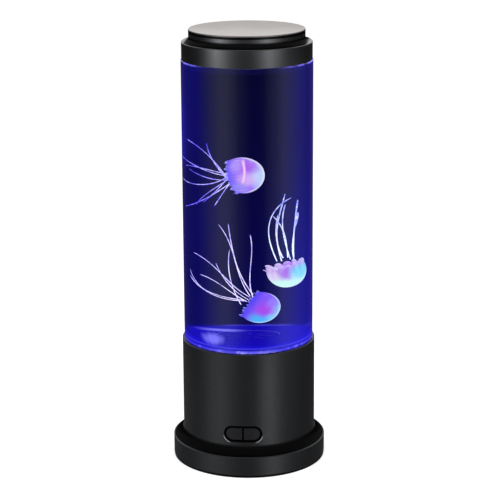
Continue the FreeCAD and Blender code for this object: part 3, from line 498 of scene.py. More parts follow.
# the tank is one clear block with the water, and what it holds glows through it
tankLook = {"index": 1.33, "chamfer": 0.0004, "mouth": 0.0465, "waterTop": 0.3122,
            "farRadius": 0.0463, "around": 192,
            "mirror": 0.05, "rear": (0.012, 0.034), "rearLoss": 0.7,
            "ripple": 40.0, "rippleDepth": 0.000006,
            # the wall's painted light: glows at the sides and rim, brighter low down, painted shade
            # on the left, a lit patch and a highlight line
            "glow": (0.002, 0.001, 0.095), "glowFacing": (0.04, 0.46),
            "rimGlow": (0.010, 0.003, 0.13), "rimFacing": (0.62, 0.84), "rimShare": 0.8,
            "brighter": (1.25, 1.25, 1.25), "brighterUp": (0.12, 0.30),
            "left": (-0.016, -0.040), "leftUp": (0.235, 0.265), "leftShare": 0.55,
            "lit": (-0.042, -0.0495), "litRise": (0.225, 0.250), "litFall": (0.275, 0.300),
            "litShare": 0.7, "litColour": screen(20, 10, 150),
            "line": (-0.0014, -0.0007), "lineSides": (0.026, 0.044), "lineShare": 0.9,
            "lineColour": screen(112, 102, 244)}
throughGlass = 1 / (1 - tankLook["mirror"])  # makes up for the share that the wall mirrors


def glowingShader(finish, base, rough, tone, strength=1.0):
    return finish.principled({
        "Base Color": base, "Roughness": rough, "Specular IOR Level": 0.0,
        "Emission Color": tone, "Emission Strength": strength * throughGlass})


# lit blue floor with a soft painted sheen patch and a painted highlight streak; its flank shows in
# bands above the base: painted sheen and glints, a painted shade band, a painted highlight on the
# lip and painted shade on the foot
floorLook = {"middle": screen(20, 5, 168), "ring": screen(18, 5, 176), "outer": screen(16, 4, 205),
             "ringFrom": (0.008, 0.030), "outerFrom": (0.034, 0.0450),
             "sheen": screen(124, 118, 252), "sheenPatch": (-0.0215, -0.016), "patchShape": (1.25, 0.42),
             "patchReach": (0.0025, 0.0115), "patchShare": 0.95,
             "streak": 0.017, "streakReach": (0.0020, 0.0062), "streakShare": 0.9,
             "streakRise": (-0.030, -0.018), "streakFall": (-0.013, -0.001),
             "flank": (0.2, 0.9), "side": screen(50, 40, 222), "glint": screen(186, 184, 255),
             "glintReach": (0.0020, 0.0045), "shade": screen(14, 5, 168),
             "shadeFrom": (0.0981, 0.0987), "lip": screen(140, 128, 250),
             "lipFrom": (0.0997, 0.1001), "foot": screen(0, 1, 40), "footTo": (0.0962, 0.0968)}


def floorTop(finish, spot, across, away, cloud):
    look = floorLook
    ring = finish.length(across, away)
    tone = finish.blend(finish.ease(ring + (cloud - 0.5) * 0.010, *look["ringFrom"]),
                        look["middle"], look["ring"])
    tone = finish.blend(finish.ease(ring + (cloud - 0.5) * 0.004, *look["outerFrom"]), tone,
                        look["outer"])
    # painted sheen patch
    offX = (across - look["sheenPatch"][0]) * look["patchShape"][0]
    offY = (away - look["sheenPatch"][1]) * look["patchShape"][1]
    combed = finish.noise(finish.stretched(spot, (1, 0.02, 1)), 420.0, 1.0)
    sheenPatch = finish.fade(finish.length(offX, offY) + (combed - 0.5) * 0.004, *look["patchReach"])
    tone = finish.blend(sheenPatch * look["patchShare"], tone, look["sheen"])
    # painted highlight streak
    streak = finish.fade(finish.size(away - look["streak"]), *look["streakReach"])
    streak = streak * finish.between(across, look["streakRise"], look["streakFall"])
    return finish.blend(streak * look["streakShare"], tone, look["sheen"])


def floorFlank(finish, spot, across, away, up):
    look = floorLook
    patches = finish.noise(finish.stretched(spot, (1, 1, 0.3)), 70.0, 3.0, 0.6)
    # painted sheen patches and a painted glint on the flank
    edge = finish.blend(finish.ease(patches, 0.46, 0.66), look["side"], look["sheen"])
    sparkle = finish.fade(finish.size(across + 0.0005), *look["glintReach"])
    sparkle = sparkle * finish.ease(finish.noise(spot, 420.0, 1.0), 0.42, 0.52)
    edge = finish.blend(sparkle * finish.fade(away, -0.04, 0.0), edge, look["glint"])
    # painted shade band, painted highlight on the lip and painted shade on the foot
    edge = finish.blend(finish.ease(up, *look["shadeFrom"]), edge, look["shade"])
    edge = finish.blend(finish.ease(up, *look["lipFrom"]), edge, look["lip"])
    return finish.blend(finish.ease(up, *look["footTo"]), look["foot"], edge)


def glowFinish(name, strength, sideShare):
    finish = Finish(name)
    spot = finish.place()
    across, away, up = finish.split(spot)
    cloud = finish.noise(spot, 38.0, 2.0)
    top = floorTop(finish, spot, across, away, cloud)
    flank = finish.fade(finish.facingUp(), *floorLook["flank"]) * sideShare
    tone = finish.blend(flank, top, floorFlank(finish, spot, across, away, up))
    return finish.surface(glowingShader(finish, (0.01, 0.01, 0.08, 1), 0.3 + cloud * 0.1, tone,
                                        strength))


dress(["tank_floor"], glowFinish("lit floor", 1.0, 1.0))
dress(["impeller_guard"], glowFinish("lit guard", 0.97, 0.04))
dress(["impeller_wheel"], glowFinish("lit wheel", 0.9, 0.05))


def glassFinish():
    # painted light on the wall: a deep blue glow at the sides, brighter low down and painted darker
    # on the left except near the top, a lit patch on the left, and a painted violet highlight line
    # under the lid
    finish, look = Finish("clear tank wall with painted glow"), tankLook
    spot = finish.place()
    across, away, up = finish.split(spot)
    ripple = finish.noise(finish.stretched(spot, (1, 1, 0.02)), look["ripple"], 1.0)
    grazing = finish.grazing()
    tone = finish.blend(finish.ease(grazing, *look["glowFacing"]), (0, 0, 0), look["glow"])
    tone = finish.blend(finish.ease(grazing, *look["rimFacing"]) * look["rimShare"], tone,
                        look["rimGlow"])
    tone = finish.darken(tone, finish.fade(up, *look["brighterUp"]), look["brighter"])
    left = finish.ease(across, *look["left"]) * finish.fade(up, *look["leftUp"])
    tone = finish.darken(tone, left * look["leftShare"])
    lit = finish.ease(across, *look["lit"]) * finish.between(up, look["litRise"], look["litFall"])
    tone = finish.blend(lit * look["litShare"], tone, look["litColour"])
    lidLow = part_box("lid_shell")[0].z
    line = finish.ease(up, *[lidLow + part for part in look["line"]])
    sides = finish.ease(finish.size(across), *look["lineSides"])
    flicker = finish.ease(finish.noise(spot, 130.0, 2.0), 0.35, 0.55)
    tone = finish.blend(line * sides * flicker * look["lineShare"], tone, look["lineColour"])
    clear = finish.principled({
        "Base Color": (1, 1, 1, 1), "Transmission Weight": 1.0, "IOR": look["index"],
        "Roughness": 0.0, "Specular Tint": (0, 0, 0, 1),
        "Emission Color": tone, "Emission Strength": throughGlass,
        "Normal": finish.bump(ripple, look["rippleDepth"])})
    mirror = finish.add("ShaderNodeBsdfGlossy", None, {"Color": (1, 1, 1, 1), "Roughness": 0.0})
    share = (1 - finish.ease(away, *look["rear"]) * look["rearLoss"]) * look["mirror"]
    return finish.surface(finish.mixed(share, clear, mirror))


def makeTank():
    low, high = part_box("tank_tube")
    outer, mouth, chamfer = high.x, tankLook["mouth"], tankLook["chamfer"]
    profile = [(0, low.z), (outer - chamfer, low.z), (outer, low.z + chamfer),
               (outer, high.z - chamfer), (outer - chamfer, high.z), (mouth + chamfer, high.z),
               (mouth, high.z - chamfer), (mouth, tankLook["waterTop"]),
               (0, tankLook["waterTop"])]
    mesh = turnedMesh("tank_glass", profile, tankLook["around"])
    makeObject("tank_glass", mesh, glassFinish(), "base", ["tank_tube"])


# the water is shown by its far side, a sheet with a painted dark blue glow, darker towards the top,
# painted light near the floor and low on the right, painted shade low on the left, and a cove round
# the floor
waterLook = {"levels": (0.10, 0.22), "stops": [
                 (0.0, screen(4, 2, 84)), (0.10, screen(3, 2, 76)), (0.30, screen(3, 2, 66)),
                 (0.62, screen(3, 2, 52)), (1.0, screen(2, 2, 40))],
             "foot": (0.1003, 0.1018), "footDark": screen(12, 4, 140),
             "footLit": screen(74, 66, 222),
             "right": (0.0, 0.040), "rightUp": (0.12, 0.235), "rightShare": 0.8,
             "rightColour": screen(12, 5, 148),
             "left": (0.0, -0.020), "leftUp": (0.14, 0.20), "leftShare": 0.35,
             "around": 160, "gap": 0.0002, "wallFrom": 0.0150, "rows": 24,
             "cove": [(0.0345, 0.0), (0.0385, 0.0014), (0.0420, 0.0042), (0.0448, 0.0086)]}


def waterFinish():
    finish, look = Finish("far water with painted glow"), waterLook
    spot = finish.place()
    across, away, up = finish.split(spot)
    cloud = finish.noise(finish.stretched(spot, (1, 1, 0.35)), 16.0, 2.0)
    bottom, rise = look["levels"]
    tone = finish.steps((up + (cloud - 0.5) * 0.02 - bottom) / rise, look["stops"])
    streaks = finish.noise(finish.stretched(spot, (1, 1, 0.1)), 40.0, 2.0)
    tone = finish.blend(finish.fade(up, *look["foot"]), tone,
                        finish.blend(finish.ease(streaks, 0.50, 0.66), look["footDark"],
                                     look["footLit"]))
    # painted light low on the right and painted shade low on the left
    right = finish.ease(across, *look["right"]) * finish.fade(up, *look["rightUp"])
    tone = finish.blend(right * look["rightShare"], tone, look["rightColour"])
    left = finish.ease(across, *look["left"]) * finish.fade(up, *look["leftUp"])
    tone = finish.darken(tone, left * look["leftShare"])
    shader = glowingShader(finish, (0, 0, 0.004, 1), 0.8, tone)
    behind = finish.add("ShaderNodeNewGeometry", None, None, "Backfacing")
    clear = finish.add("ShaderNodeBsdfTransparent")
    finish.owner.use_backface_culling = True
    return finish.surface(finish.mixed(behind, shader, clear))


def makeWater():
    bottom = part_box("tank_floor")[1].z - waterLook["gap"]
    top = tankLook["waterTop"] - 0.0003
    profile = [(radius, bottom + rise) for radius, rise in waterLook["cove"]]
    rise, rows = waterLook["wallFrom"], waterLook["rows"]
    profile += [(tankLook["farRadius"], bottom + rise + (top - bottom - rise) * index / rows)
                for index in range(rows + 1)]
    mesh = turnedMesh("tank_water", profile, waterLook["around"], inward=True, crease=60)
    makeObject("tank_water", mesh, waterFinish(), "base")


def collarFinish():
    finish = Finish("dark mouth band")
    cloud = finish.noise(finish.place(), 60.0, 2.0)
    tone = finish.blend(cloud, screen(2, 2, 44), screen(5, 4, 62))
    return finish.surface(glowingShader(finish, (0.002, 0.002, 0.01, 1), 0.6 + cloud * 0.1, tone))


def makeCollar():
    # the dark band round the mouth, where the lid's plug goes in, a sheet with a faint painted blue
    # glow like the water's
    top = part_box("tank_tube")[1].z - 0.0003
    low, radius = tankLook["waterTop"] - 0.0002, tankLook["mouth"] + 0.00006
    profile = [(radius, low), (radius, (low + top) / 2), (radius, top)]
    mesh = turnedMesh("tank_collar", profile, waterLook["around"])
    makeObject("tank_collar", mesh, collarFinish(), "base")


makeTank()
makeWater()
makeCollar()
print("tank built")


# shared by the three jellyfish: glows, the thin blue outline, and how far out a strand may go
jellyLook = {"bellGlow": 0.95, "frillGlow": 0.9, "strandGlow": 1.35, "rootReach": 11.95,
             "rootInset": 5.4, "strandOut": 45.3, "strandThick": 0.28, "strandShine": 0.8,
             "strandSteps": 40, "strandSides": 10, "bellAround": 136, "bellDown": 34,
             "bellThick": 0.9, "frillAround": 480, "frillDown": 10, "frillThick": 0.22,
             "outline": screen(62, 58, 236), "outlineFacing": (0.92, 0.985), "outlineShare": 0.95,
             "strandOutline": screen(70, 60, 244), "spark": screen(236, 236, 255)}

# a pale bow on one bell: its place, bend and slant in metres, and its ends
bellStreak = {"level": 0.0012, "middle": -0.003, "bow": 30, "slant": 0.16,
              "reach": (0.00025, 0.0011), "rise": (-0.0130, -0.0105), "fall": (0.0035, 0.0055),
              "front": (-0.003, 0.0), "share": 0.85, "colour": screen(255, 214, 246)}

# patches are soft spots of colour on a bell: across and crownward in mm, reach, colour, share;
# strands are root across in mm, heading, length in mm, bend and swing in degrees
upperJelly = {
    "body": "jellyfish_upper", "slot": "bell_violet", "middle": (-2.3, -4.0, 229.9), "apex": 13.0,
    "lean": -1.0, "yaw": 16.0, "shift": (2.7, 0.3), "radius": 13.6, "height": 18.2, "curl": 116,
    "strandWidth": 0.29, "spread": 12.0, "lobes": 17, "flare": (-0.5, 2.6), "skirt": 3.3,
    "inset": 4.5, "teeth": 27,
    "ruffle": 0.45, "phase": 0.4, "pointed": True, "seed": 3,
    "crown": screen(188, 216, 255), "crownFrom": 0.62, "shell": screen(164, 124, 255),
    "hem": screen(116, 100, 255), "rimGlow": screen(238, 240, 255), "rimShare": 0.9,
    "patches": [(-6.0, 4.0, 7.5, screen(176, 98, 246), 0.9),
                (3.0, 2.0, 8.0, screen(222, 186, 252), 0.8),
                (-8.5, -3.0, 6.0, screen(196, 170, 255), 0.6),
                (9.0, -5.0, 8.0, screen(160, 152, 250), 0.7)],
    "streak": True, "paddles": {},
    "strandRoot": screen(172, 164, 255), "strandTip": screen(84, 70, 236),
    "strands": [(-6, 122, 36, 10, 30), (-3, 121, 24, -12, -15), (-5, 166, 28, -9, 26),
                (-1, 170, 32, -67, 52), (0, 185, 27, -61, 29), (2, 218, 33, -90, 20),
                (1, 220, 28, -15, 29), (7, 223, 32, 3, -29), (6, 238, 17, 2, -4),
                (4, 240, 21, -12, 0)],
}
rightJelly = {
    "body": "jellyfish_right", "slot": "bell_pink", "middle": (20.7, 4.0, 149.7), "apex": -85.0,
    "lean": 8.0, "yaw": 0.0, "shift": (2.6, -3.1), "radius": 11.6, "height": 16.6, "curl": 106,
    "strandWidth": 0.34, "spread": 8.0, "lobes": 7, "flare": (0.4, 2.4), "skirt": 4.4,
    "inset": 1.0, "teeth": 15,
    "ruffle": 0.7, "phase": 1.9, "pointed": False, "seed": 8,
    "crown": screen(206, 255, 242), "crownFrom": 0.10, "shell": screen(166, 228, 252),
    "hem": screen(206, 176, 240), "rimGlow": screen(226, 250, 255), "rimShare": 0.8,
    "patches": [(-1.0, -5.0, 8.0, screen(184, 118, 238), 0.95),
                (8.0, -4.0, 6.5, screen(232, 208, 248), 0.85),
                (-9.5, -3.0, 8.5, screen(126, 226, 252), 0.85)],
    "streak": False, "paddles": {6: 2.6, 5: 1.4, 4: 1.3},
    "strandRoot": screen(222, 240, 255), "strandTip": screen(150, 160, 250),
    "strands": [(3, 108, 54, -9, -72), (1, 111, 51, -74, 43), (0, 103, 36, -8, -17),
                (-2, 95, 34, -7, 39), (-5, 104, 44, -6, -23), (-6, 93, 45, -18, 9),
                (-7, 98, 37, -46, 27)],
}
lowerJelly = {
    "body": "jellyfish_lower", "slot": "bell_cyan", "middle": (6.7, -2.0, 124.5), "apex": -50.0,
    "lean": 24.0, "yaw": 12.0, "shift": (2.8, -2.3), "radius": 12.1, "height": 17.8, "curl": 119,
    "strandWidth": 0.27, "spread": 13.0, "lobes": 15, "flare": (0.2, 0.7), "skirt": 3.5,
    "inset": 3.0, "teeth": 24,
    "ruffle": 0.45, "phase": 3.1, "pointed": True, "seed": 5,
    "crown": screen(132, 216, 250), "crownFrom": 0.66, "shell": screen(134, 92, 252),
    "hem": screen(96, 78, 252), "rimGlow": screen(206, 232, 255), "rimShare": 0.8,
    "patches": [(7.8, 2.5, 10.0, screen(74, 188, 250), 0.95),
                (-3.4, 2.0, 8.5, screen(178, 76, 236), 0.8),
                (-9.5, 4.0, 6.0, screen(150, 140, 255), 0.6)],
    "streak": False, "paddles": {},
    "strandRoot": screen(222, 214, 255), "strandTip": screen(186, 174, 252),
    "strands": [(-4, 102, 47, -64, 63), (-3, 118, 55, -45, 22), (6, 112, 43, -26, -4),
                (-1, 115, 56, -62, 67), (1, 142, 34, -46, 13), (1, 139, 45, -68, 83),
                (3, 144, 35, -40, 62), (6, 172, 35, -20, -40), (5, 176, 47, -64, 3)],
}


def jellyPlace(jelly):
    # where the bell stands: its own z runs to the crown and its own x downwards
    right, away, up = jelly["middle"]
    shiftRight, shiftUp = jelly["shift"]
    spin = Matrix.Rotation(math.radians(viewTurn), 4, "Z")
    tilt = Matrix.Rotation(math.radians(90 - jelly["apex"] - jelly["lean"]), 4, "Y")
    tilt = Matrix.Rotation(math.radians(-jelly["yaw"]), 4, "Z") @ tilt
    middle = spin @ Vector((right + shiftRight, away, 0)) + Vector((0, 0, up + shiftUp))
    return Matrix.Translation(middle / 1000) @ spin @ tilt


def bellRadius(jelly, angle, share, depth=0.0):
    # share runs from 0 at the crown to 1 at the rim
    folds = smoothStep(share, 0.35, 1.0)
    lobe = math.cos(jelly["lobes"] * angle + jelly["phase"])
    slow = math.cos(3 * angle + jelly["phase"]) * 0.012 + math.cos(2 * angle - 1.0) * 0.010
    wave = 1 + folds * 0.028 * lobe + slow
    turn = math.radians(jelly["curl"] * share)
    return (jelly["radius"] * wave - depth) * math.sin(turn) ** 0.92


def bellHeight(jelly, share, depth=0.0):
    rise = jelly["height"] / (1 - math.cos(math.radians(jelly["curl"])))
    turn = math.radians(jelly["curl"] * share)
    return jelly["height"] / 2 - rise + (rise - depth) * math.cos(turn)


def ringPoint(radius, angle, height):
    # millimetres about the bell's own axis, as metres
    return (radius * math.cos(angle) / 1000, radius * math.sin(angle) / 1000, height / 1000)


def makeBell(name, jelly):
    # an outer skin down to the rim and an inner one back up
    around, down = jellyLook["bellAround"], jellyLook["bellDown"]
    shares = [0.012 + 0.988 * index / down for index in range(down + 1)]
    skins = [(share, 0.0) for share in shares]
    skins += [(share, jellyLook["bellThick"]) for share in reversed(shares)]
    angles = [2 * math.pi * index / around for index in range(around)]
    rows = [[ringPoint(bellRadius(jelly, angle, share, depth), angle,
                       bellHeight(jelly, share, depth)) for angle in angles]
            for share, depth in skins]
    mesh = gridMesh(name + "_bell_skin", rows, caps=True)
    makeObject(name + "_bell_skin", mesh, bellFinish(name, jelly), jelly["body"],
               [name + "_bell"], jellyPlace(jelly))


def bellTones(finish, jelly, spot):
    across, deep, crown = finish.split(spot)
    cloud = finish.noise(spot, 150.0, 2.0)
    level = crown * (1000 / jelly["height"]) + 0.5 + (cloud - 0.5) * 0.22
    tone = finish.blend(finish.ease(level, -0.02, 0.30), jelly["hem"], jelly["shell"])
    tone = finish.blend(finish.ease(level, jelly["crownFrom"], jelly["crownFrom"] + 0.3), tone,
                        jelly["crown"])
    for spotX, spotZ, reach, shade, share in jelly["patches"]:
        offX, offZ = across - spotX / 1000, crown - spotZ / 1000
        away = finish.length(offX, offZ) + (cloud - 0.5) * 0.005
        tone = finish.blend(finish.fade(away, reach * 0.0002, reach * 0.001) * share, tone, shade)
    return tone, across, deep, crown, cloud


def jellyShader(finish, tone, rough, strength):
    return glowingShader(finish, finish.tint(tone, (0.2, 0.2, 0.2)), rough, tone, strength)


def streakMask(finish, across, deep, crown):
    look = bellStreak
    off = across - look["middle"]
    bow = crown - look["level"] + off * off * look["bow"] + across * look["slant"]
    line = finish.fade(finish.size(bow), *look["reach"])
    ends = finish.between(across, look["rise"], look["fall"])
    return line * ends * finish.fade(deep, *look["front"]) * look["share"]


def bellFinish(name, jelly):
    # radial canals show as folds near the rim with painted shade in them, and the edge glows before
    # a thin blue outline
    finish = Finish(name + " bell")
    spot = finish.place()
    tone, across, deep, crown, cloud = bellTones(finish, jelly, spot)
    angle = finish.sums("ARCTAN2", deep, across)
    foldShading = finish.sums("COSINE", angle * (2 * jelly["lobes"]) + jelly["phase"])
    fold = finish.fade(crown, -jelly["height"] / 2000, jelly["height"] / 6000)
    tone = finish.darken(tone, (0.5 - foldShading * 0.5) * fold * 0.45, (0.62, 0.62, 0.86))
    grazing = finish.grazing()
    glow = finish.ease(grazing, 0.50, 0.86) * jelly["rimShare"]
    glow = glow * finish.ease(crown, -jelly["height"] / 2400, jelly["height"] / 6000)
    tone = finish.blend(glow, tone, jelly["rimGlow"])
    outline = finish.ease(grazing, *jellyLook["outlineFacing"]) * jellyLook["outlineShare"]
    tone = finish.blend(outline, tone, jellyLook["outline"])
    if jelly["streak"]:
        tone = finish.blend(streakMask(finish, across, deep, crown), tone, bellStreak["colour"])
    return finish.surface(jellyShader(finish, tone, 0.3 + cloud * 0.1, jellyLook["bellGlow"]))


def makeFrill(name, jelly):
    # a pleated skirt with uneven scallops, thin at its free edge
    around, down, teeth = jellyLook["frillAround"], jellyLook["frillDown"], jelly["teeth"]
    lengths = [0.55 + 0.45 * ((index * 7 + jelly["seed"] * 3) % 11) / 10 for index in range(teeth)]
    flareAll, flareDown = jelly["flare"]
    rimHeight = bellHeight(jelly, 1.0) + 0.8
    skins = []
    for side in (jellyLook["frillThick"], -jellyLook["frillThick"]):
        rows = []
        for step in range(down + 1):
            along = step / down
            row = []
            for index in range(around):
                angle = 2 * math.pi * index / around
                place = (index / around * teeth) % 1.0
                tooth = 1 - abs(2 * place - 1) ** (1.1 if jelly["pointed"] else 2.6)
                length = lengths[int(index / around * teeth)]
                reach = along * (0.26 + 0.74 * tooth * length)
                pleat = math.cos(jelly["lobes"] * angle + jelly["phase"])
                flare = flareAll + flareDown * max(math.cos(angle - 0.3), 0.0) ** 2
                thick = side * (1 - 0.75 * along)
                radius = (bellRadius(jelly, angle, 1.0, 0.3) + flare * reach ** 1.3
                          + jelly["ruffle"] * along * pleat + thick)
                height = rimHeight - jelly["skirt"] * reach + 0.3 * along * flare
                row.append(ringPoint(radius, angle, height))
            rows.append(row)
        skins.append(rows)
    rows = skins[0] + list(reversed(skins[1]))
    mesh = gridMesh(name + "_frill_skin", rows + [rows[0]])
    makeObject(name + "_frill_skin", mesh, frillFinish(name, jelly), jelly["body"],
               [name + "_frill"], jellyPlace(jelly))


def frillFinish(name, jelly):
    finish = Finish(name + " frill")
    spot = finish.place()
    tone, across, deep, crown, cloud = bellTones(finish, jelly, spot)
    size = jelly["height"] / 2000
    edge = finish.fade(crown, -size - jelly["skirt"] * 0.0009, -size)
    angle = finish.sums("ARCTAN2", deep, across)
    # painted light and shade: stripes round the frill, darker and bluer between lighter ones
    pleatShading = finish.sums("COSINE", angle * (2 * jelly["lobes"]))
    tone = finish.tint(tone, finish.blend((pleatShading * 0.5 + 0.5) * 0.5, (1.1, 1.1, 1.1),
                                          (0.5, 0.5, 0.82)))
    tone = finish.blend(edge * 0.55, tone, jelly["rimGlow"])
    return finish.surface(jellyShader(finish, tone, 0.35 + cloud * 0.1, jellyLook["frillGlow"]))


def strandPath(jelly, index, strand):
    # from just inside the bell along a bending line, which stays inside the tank
    across, heading, length, bend, swing = strand
    apex = math.radians(jelly["apex"])
    reach, steps = jellyLook["rootReach"], jellyLook["strandSteps"]
    root = jelly["radius"] - jellyLook["rootInset"]
    side = 1 if index % 2 else -1
    rootDepth = side * math.sqrt(root ** 2 - min(abs(across), root * 0.9) ** 2)
    tipDepth = side * jelly["spread"] * (0.35 + 0.65 * ((index * 3) % 5) / 4)
    right, away, up = jelly["middle"]
    x = right - math.cos(apex) * reach + across * math.sin(apex)
    z = up - math.sin(apex) * reach - across * math.cos(apex)
    spin = Matrix.Rotation(math.radians(viewTurn), 4, "Z")
    points = []
    inward = math.radians(heading + bend * 0.5 / steps)
    inside = spin @ Vector((x - math.cos(inward) * jelly["inset"], away + rootDepth, 0))
    points.append(Vector((inside.x, inside.y, z - math.sin(inward) * jelly["inset"])))
    for step in range(steps + 1):
        along = step / steps
        depth = rootDepth + (tipDepth - rootDepth) * along
        flat = spin @ Vector((x, away + depth, 0))
        radius = math.hypot(flat.x, flat.y)
        if radius > jellyLook["strandOut"]:
            flat = flat * (jellyLook["strandOut"] / radius)
        points.append(Vector((flat.x, flat.y, z)))
        angle = math.radians(heading + bend * (along + 0.5 / steps)
                             + swing * (along + 0.5 / steps) ** 2)
        x += math.cos(angle) * length / steps
        z += math.sin(angle) * length / steps
    return points


def makeStrands(name, jelly):
    # flat tapering ribbons with rounded tips
    build = bmesh.new()
    layer = build.loops.layers.uv.new("UVMap")
    sides = jellyLook["strandSides"]
    for index, strand in enumerate(jelly["strands"]):
        points = strandPath(jelly, index, strand)
        last = len(points) - 1
        rings = []
        for step, point in enumerate(points):
            along = step / last
            ahead = points[min(step + 1, last)] - points[max(step - 1, 0)]
            ahead.normalize()
            outward = Vector((0, 1, 0)).cross(ahead).normalized()
            deep = ahead.cross(outward).normalized()
            tip = math.sqrt(max(1 - (max(along - 0.93, 0.0) / 0.072) ** 2, 0.0))
            share = (1.06 - 0.14 * along) * tip
            wide = jelly["strandWidth"] * share * (1 + 0.16 * math.sin(9 * along + index))
            wide *= 1 + (jelly["paddles"].get(index, 1.0) - 1) * smoothStep(along, 0.62, 0.82)
            thick = jellyLook["strandThick"] * share
            ring = []
            for turn in range(sides):
                angle = 2 * math.pi * turn / sides
                place = point + outward * wide * math.cos(angle) + deep * thick * math.sin(angle)
                ring.append(build.verts.new(place / 1000))
            rings.append(ring)
        for step in range(last):
            for turn in range(sides):
                after = (turn + 1) % sides
                face = build.faces.new((rings[step][turn], rings[step][after],
                                        rings[step + 1][after], rings[step + 1][turn]))
                spots = ((turn, step), (turn + 1, step), (turn + 1, step + 1), (turn, step + 1))
                for loop, (around, along) in zip(face.loops, spots):
                    loop[layer].uv = (around / sides, along / last)
        build.faces.new(rings[0])
        build.faces.new(rings[-1])
    bmesh.ops.recalc_face_normals(build, faces=build.faces)
    mesh = bakedMesh(name + "_strands_skin", build)
    makeObject(name + "_strands_skin", mesh, strandFinish(name, jelly), jelly["body"],
               [name + "_strands"])


def strandFinish(name, jelly):
    finish = Finish(name + " strands")
    along = finish.split(finish.place("UV"))[1]
    cloud = finish.noise(finish.place(), 330.0, 2.0)
    tone = finish.blend(finish.ease(along + (cloud - 0.5) * 0.3, 0.15, 0.95),
                        jelly["strandRoot"], jelly["strandTip"])
    tone = finish.blend(finish.ease(cloud, 0.52, 0.64) * 0.5, tone, jellyLook["spark"])
    tone = finish.darken(tone, finish.ease(cloud, 0.48, 0.36), (0.62, 0.60, 0.85))
    tone = finish.blend(finish.ease(finish.grazing(), 0.45, 0.9) * jellyLook["strandShine"], tone,
                        jellyLook["strandOutline"])
    return finish.surface(jellyShader(finish, tone, 0.4, jellyLook["strandGlow"]))


for jellyName, jelly in (("upper", upperJelly), ("right", rightJelly), ("lower", lowerJelly)):
    makeBell(jellyName, jelly)
    makeFrill(jellyName, jelly)
    makeStrands(jellyName, jelly)
    print(jellyName, "jellyfish built")


# a white studio: the floor and world look white, and light the lamp a little less; a painted shadow
# darkens the floor under the lamp
stageLook = {"lift": 0.56, "worldDiffuse": 0.55, "floorSize": 6.0, "floorGap": 0.0001,
             "paper": ((0.79, 0.79, 0.79), (0.81, 0.81, 0.81)), "shadowUnderLamp": (0.015, 0.015, 0.015),
             "shadowRim": (0.0592, 0.0602)}


def lookedAt(finish):
    # how far a ray is one that shows things: to the camera, in gloss or through the tank
    rays = finish.add("ShaderNodeLightPath", None, None, "Is Camera Ray")
    glossy = finish.outputOf(rays, "Is Glossy Ray")
    through = finish.outputOf(rays, "Is Transmission Ray")
    return finish.sums("MINIMUM", rays + glossy + through, 1.0)


def floorFinish():
    finish = Finish("pale floor")
    paper = finish.noise(finish.place(), 8.0, 3.0)
    base = finish.blend(paper, *stageLook["paper"])
    across, away, up = finish.split(finish.place())
    # painted shadow: the floor under the lamp is dark and gets no lift
    clearOfShadow = finish.ease(finish.length(across, away), *stageLook["shadowRim"])
    lift = finish.add("ShaderNodeEmission", None,
                      {"Color": (1, 1, 1, 1), "Strength": stageLook["lift"]})
    nothing = finish.add("ShaderNodeEmission", None, {"Color": (0, 0, 0, 1), "Strength": 0.0})
    matt = finish.add("ShaderNodeBsdfDiffuse", None,
                      {"Color": finish.blend(clearOfShadow, stageLook["shadowUnderLamp"], base)})
    extra = finish.mixed(lookedAt(finish) * clearOfShadow, nothing, lift)
    return finish.surface(finish.add("ShaderNodeAddShader", None, {0: matt, 1: extra}))


def makeFloor():
    build = bmesh.new()
    bmesh.ops.create_grid(build, x_segments=2, y_segments=2, size=stageLook["floorSize"])
    made = linked("floor", bakedMesh("floor", build))
    made.data.materials.append(floorFinish())
    made.location.z = cadBox[0].z - stageLook["floorGap"]
    made.visible_glossy = False


def makeWorld():
    finish = Finish("studio", "worlds")
    least = stageLook["worldDiffuse"]
    sky = finish.add("ShaderNodeBackground", None,
                     {"Color": (1, 1, 1, 1), "Strength": lookedAt(finish) * (1 - least) + least})
    finish.add("ShaderNodeOutputWorld", None, {"Surface": sky})
    bpy.context.scene.world = finish.owner


# what the gloss sees round the lamp: soft strips between dark cards, as degrees from the
# camera and brightness, at the heights that lid, tank, base and flange reflect
surroundStops = {
    "lid": [(-130, 0.03), (-108, 0.05), (-92, 0.14), (-78, 0.56), (-66, 1.8), (-54, 3.3),
            (-43, 2.3), (-32, 1.05), (-22, 0.56), (-12, 0.35), (-1, 0.35), (8, 0.46), (19, 1.05),
            (29, 2.05), (40, 3.05), (50, 1.9), (62, 0.75), (74, 0.22), (88, 0.10), (103, 0.04),
            (122, 0.03)],
    "tank": [(-130, 0.40), (-99, 0.45), (-84, 1.15), (-71, 2.3), (-59, 3.6), (-47, 5.0),
             (-35, 4.8), (-25, 3.3), (-14, 1.5), (-3, 0.8), (7, 0.3), (18, 0.35), (28, 0.55),
             (39, 1.8), (51, 3.0), (63, 4.7), (75, 4.4), (89, 3.3), (105, 2.0), (125, 0.75),
             (150, 0.5)],
    "base": [(-150, 0.10), (-132, 0.17), (-118, 0.20), (-99, 0.26), (-84, 0.50), (-71, 1.1),
             (-58, 1.6), (-47, 1.65), (-36, 1.2), (-25, 0.84), (-15, 0.54), (-5, 0.50), (6, 0.66),
             (15, 1.15), (24, 2.7), (33, 4.0), (42, 3.2), (54, 1.35), (66, 0.48), (80, 0.28),
             (100, 0.10), (120, 0.07), (150, 0.05)],
    "flange": [(-133, 0.08), (-113, 0.11), (-97, 0.17), (-84, 0.23), (-72, 0.32), (-61, 0.42),
               (-51, 0.41), (-41, 0.34), (-32, 0.27), (-23, 0.24), (-14, 0.17), (-4, 0.17),
               (4, 0.18), (13, 0.21), (22, 0.30), (31, 0.42), (41, 0.48), (50, 0.40), (61, 0.28),
               (72, 0.20), (83, 0.15), (96, 0.12), (112, 0.10)],
}

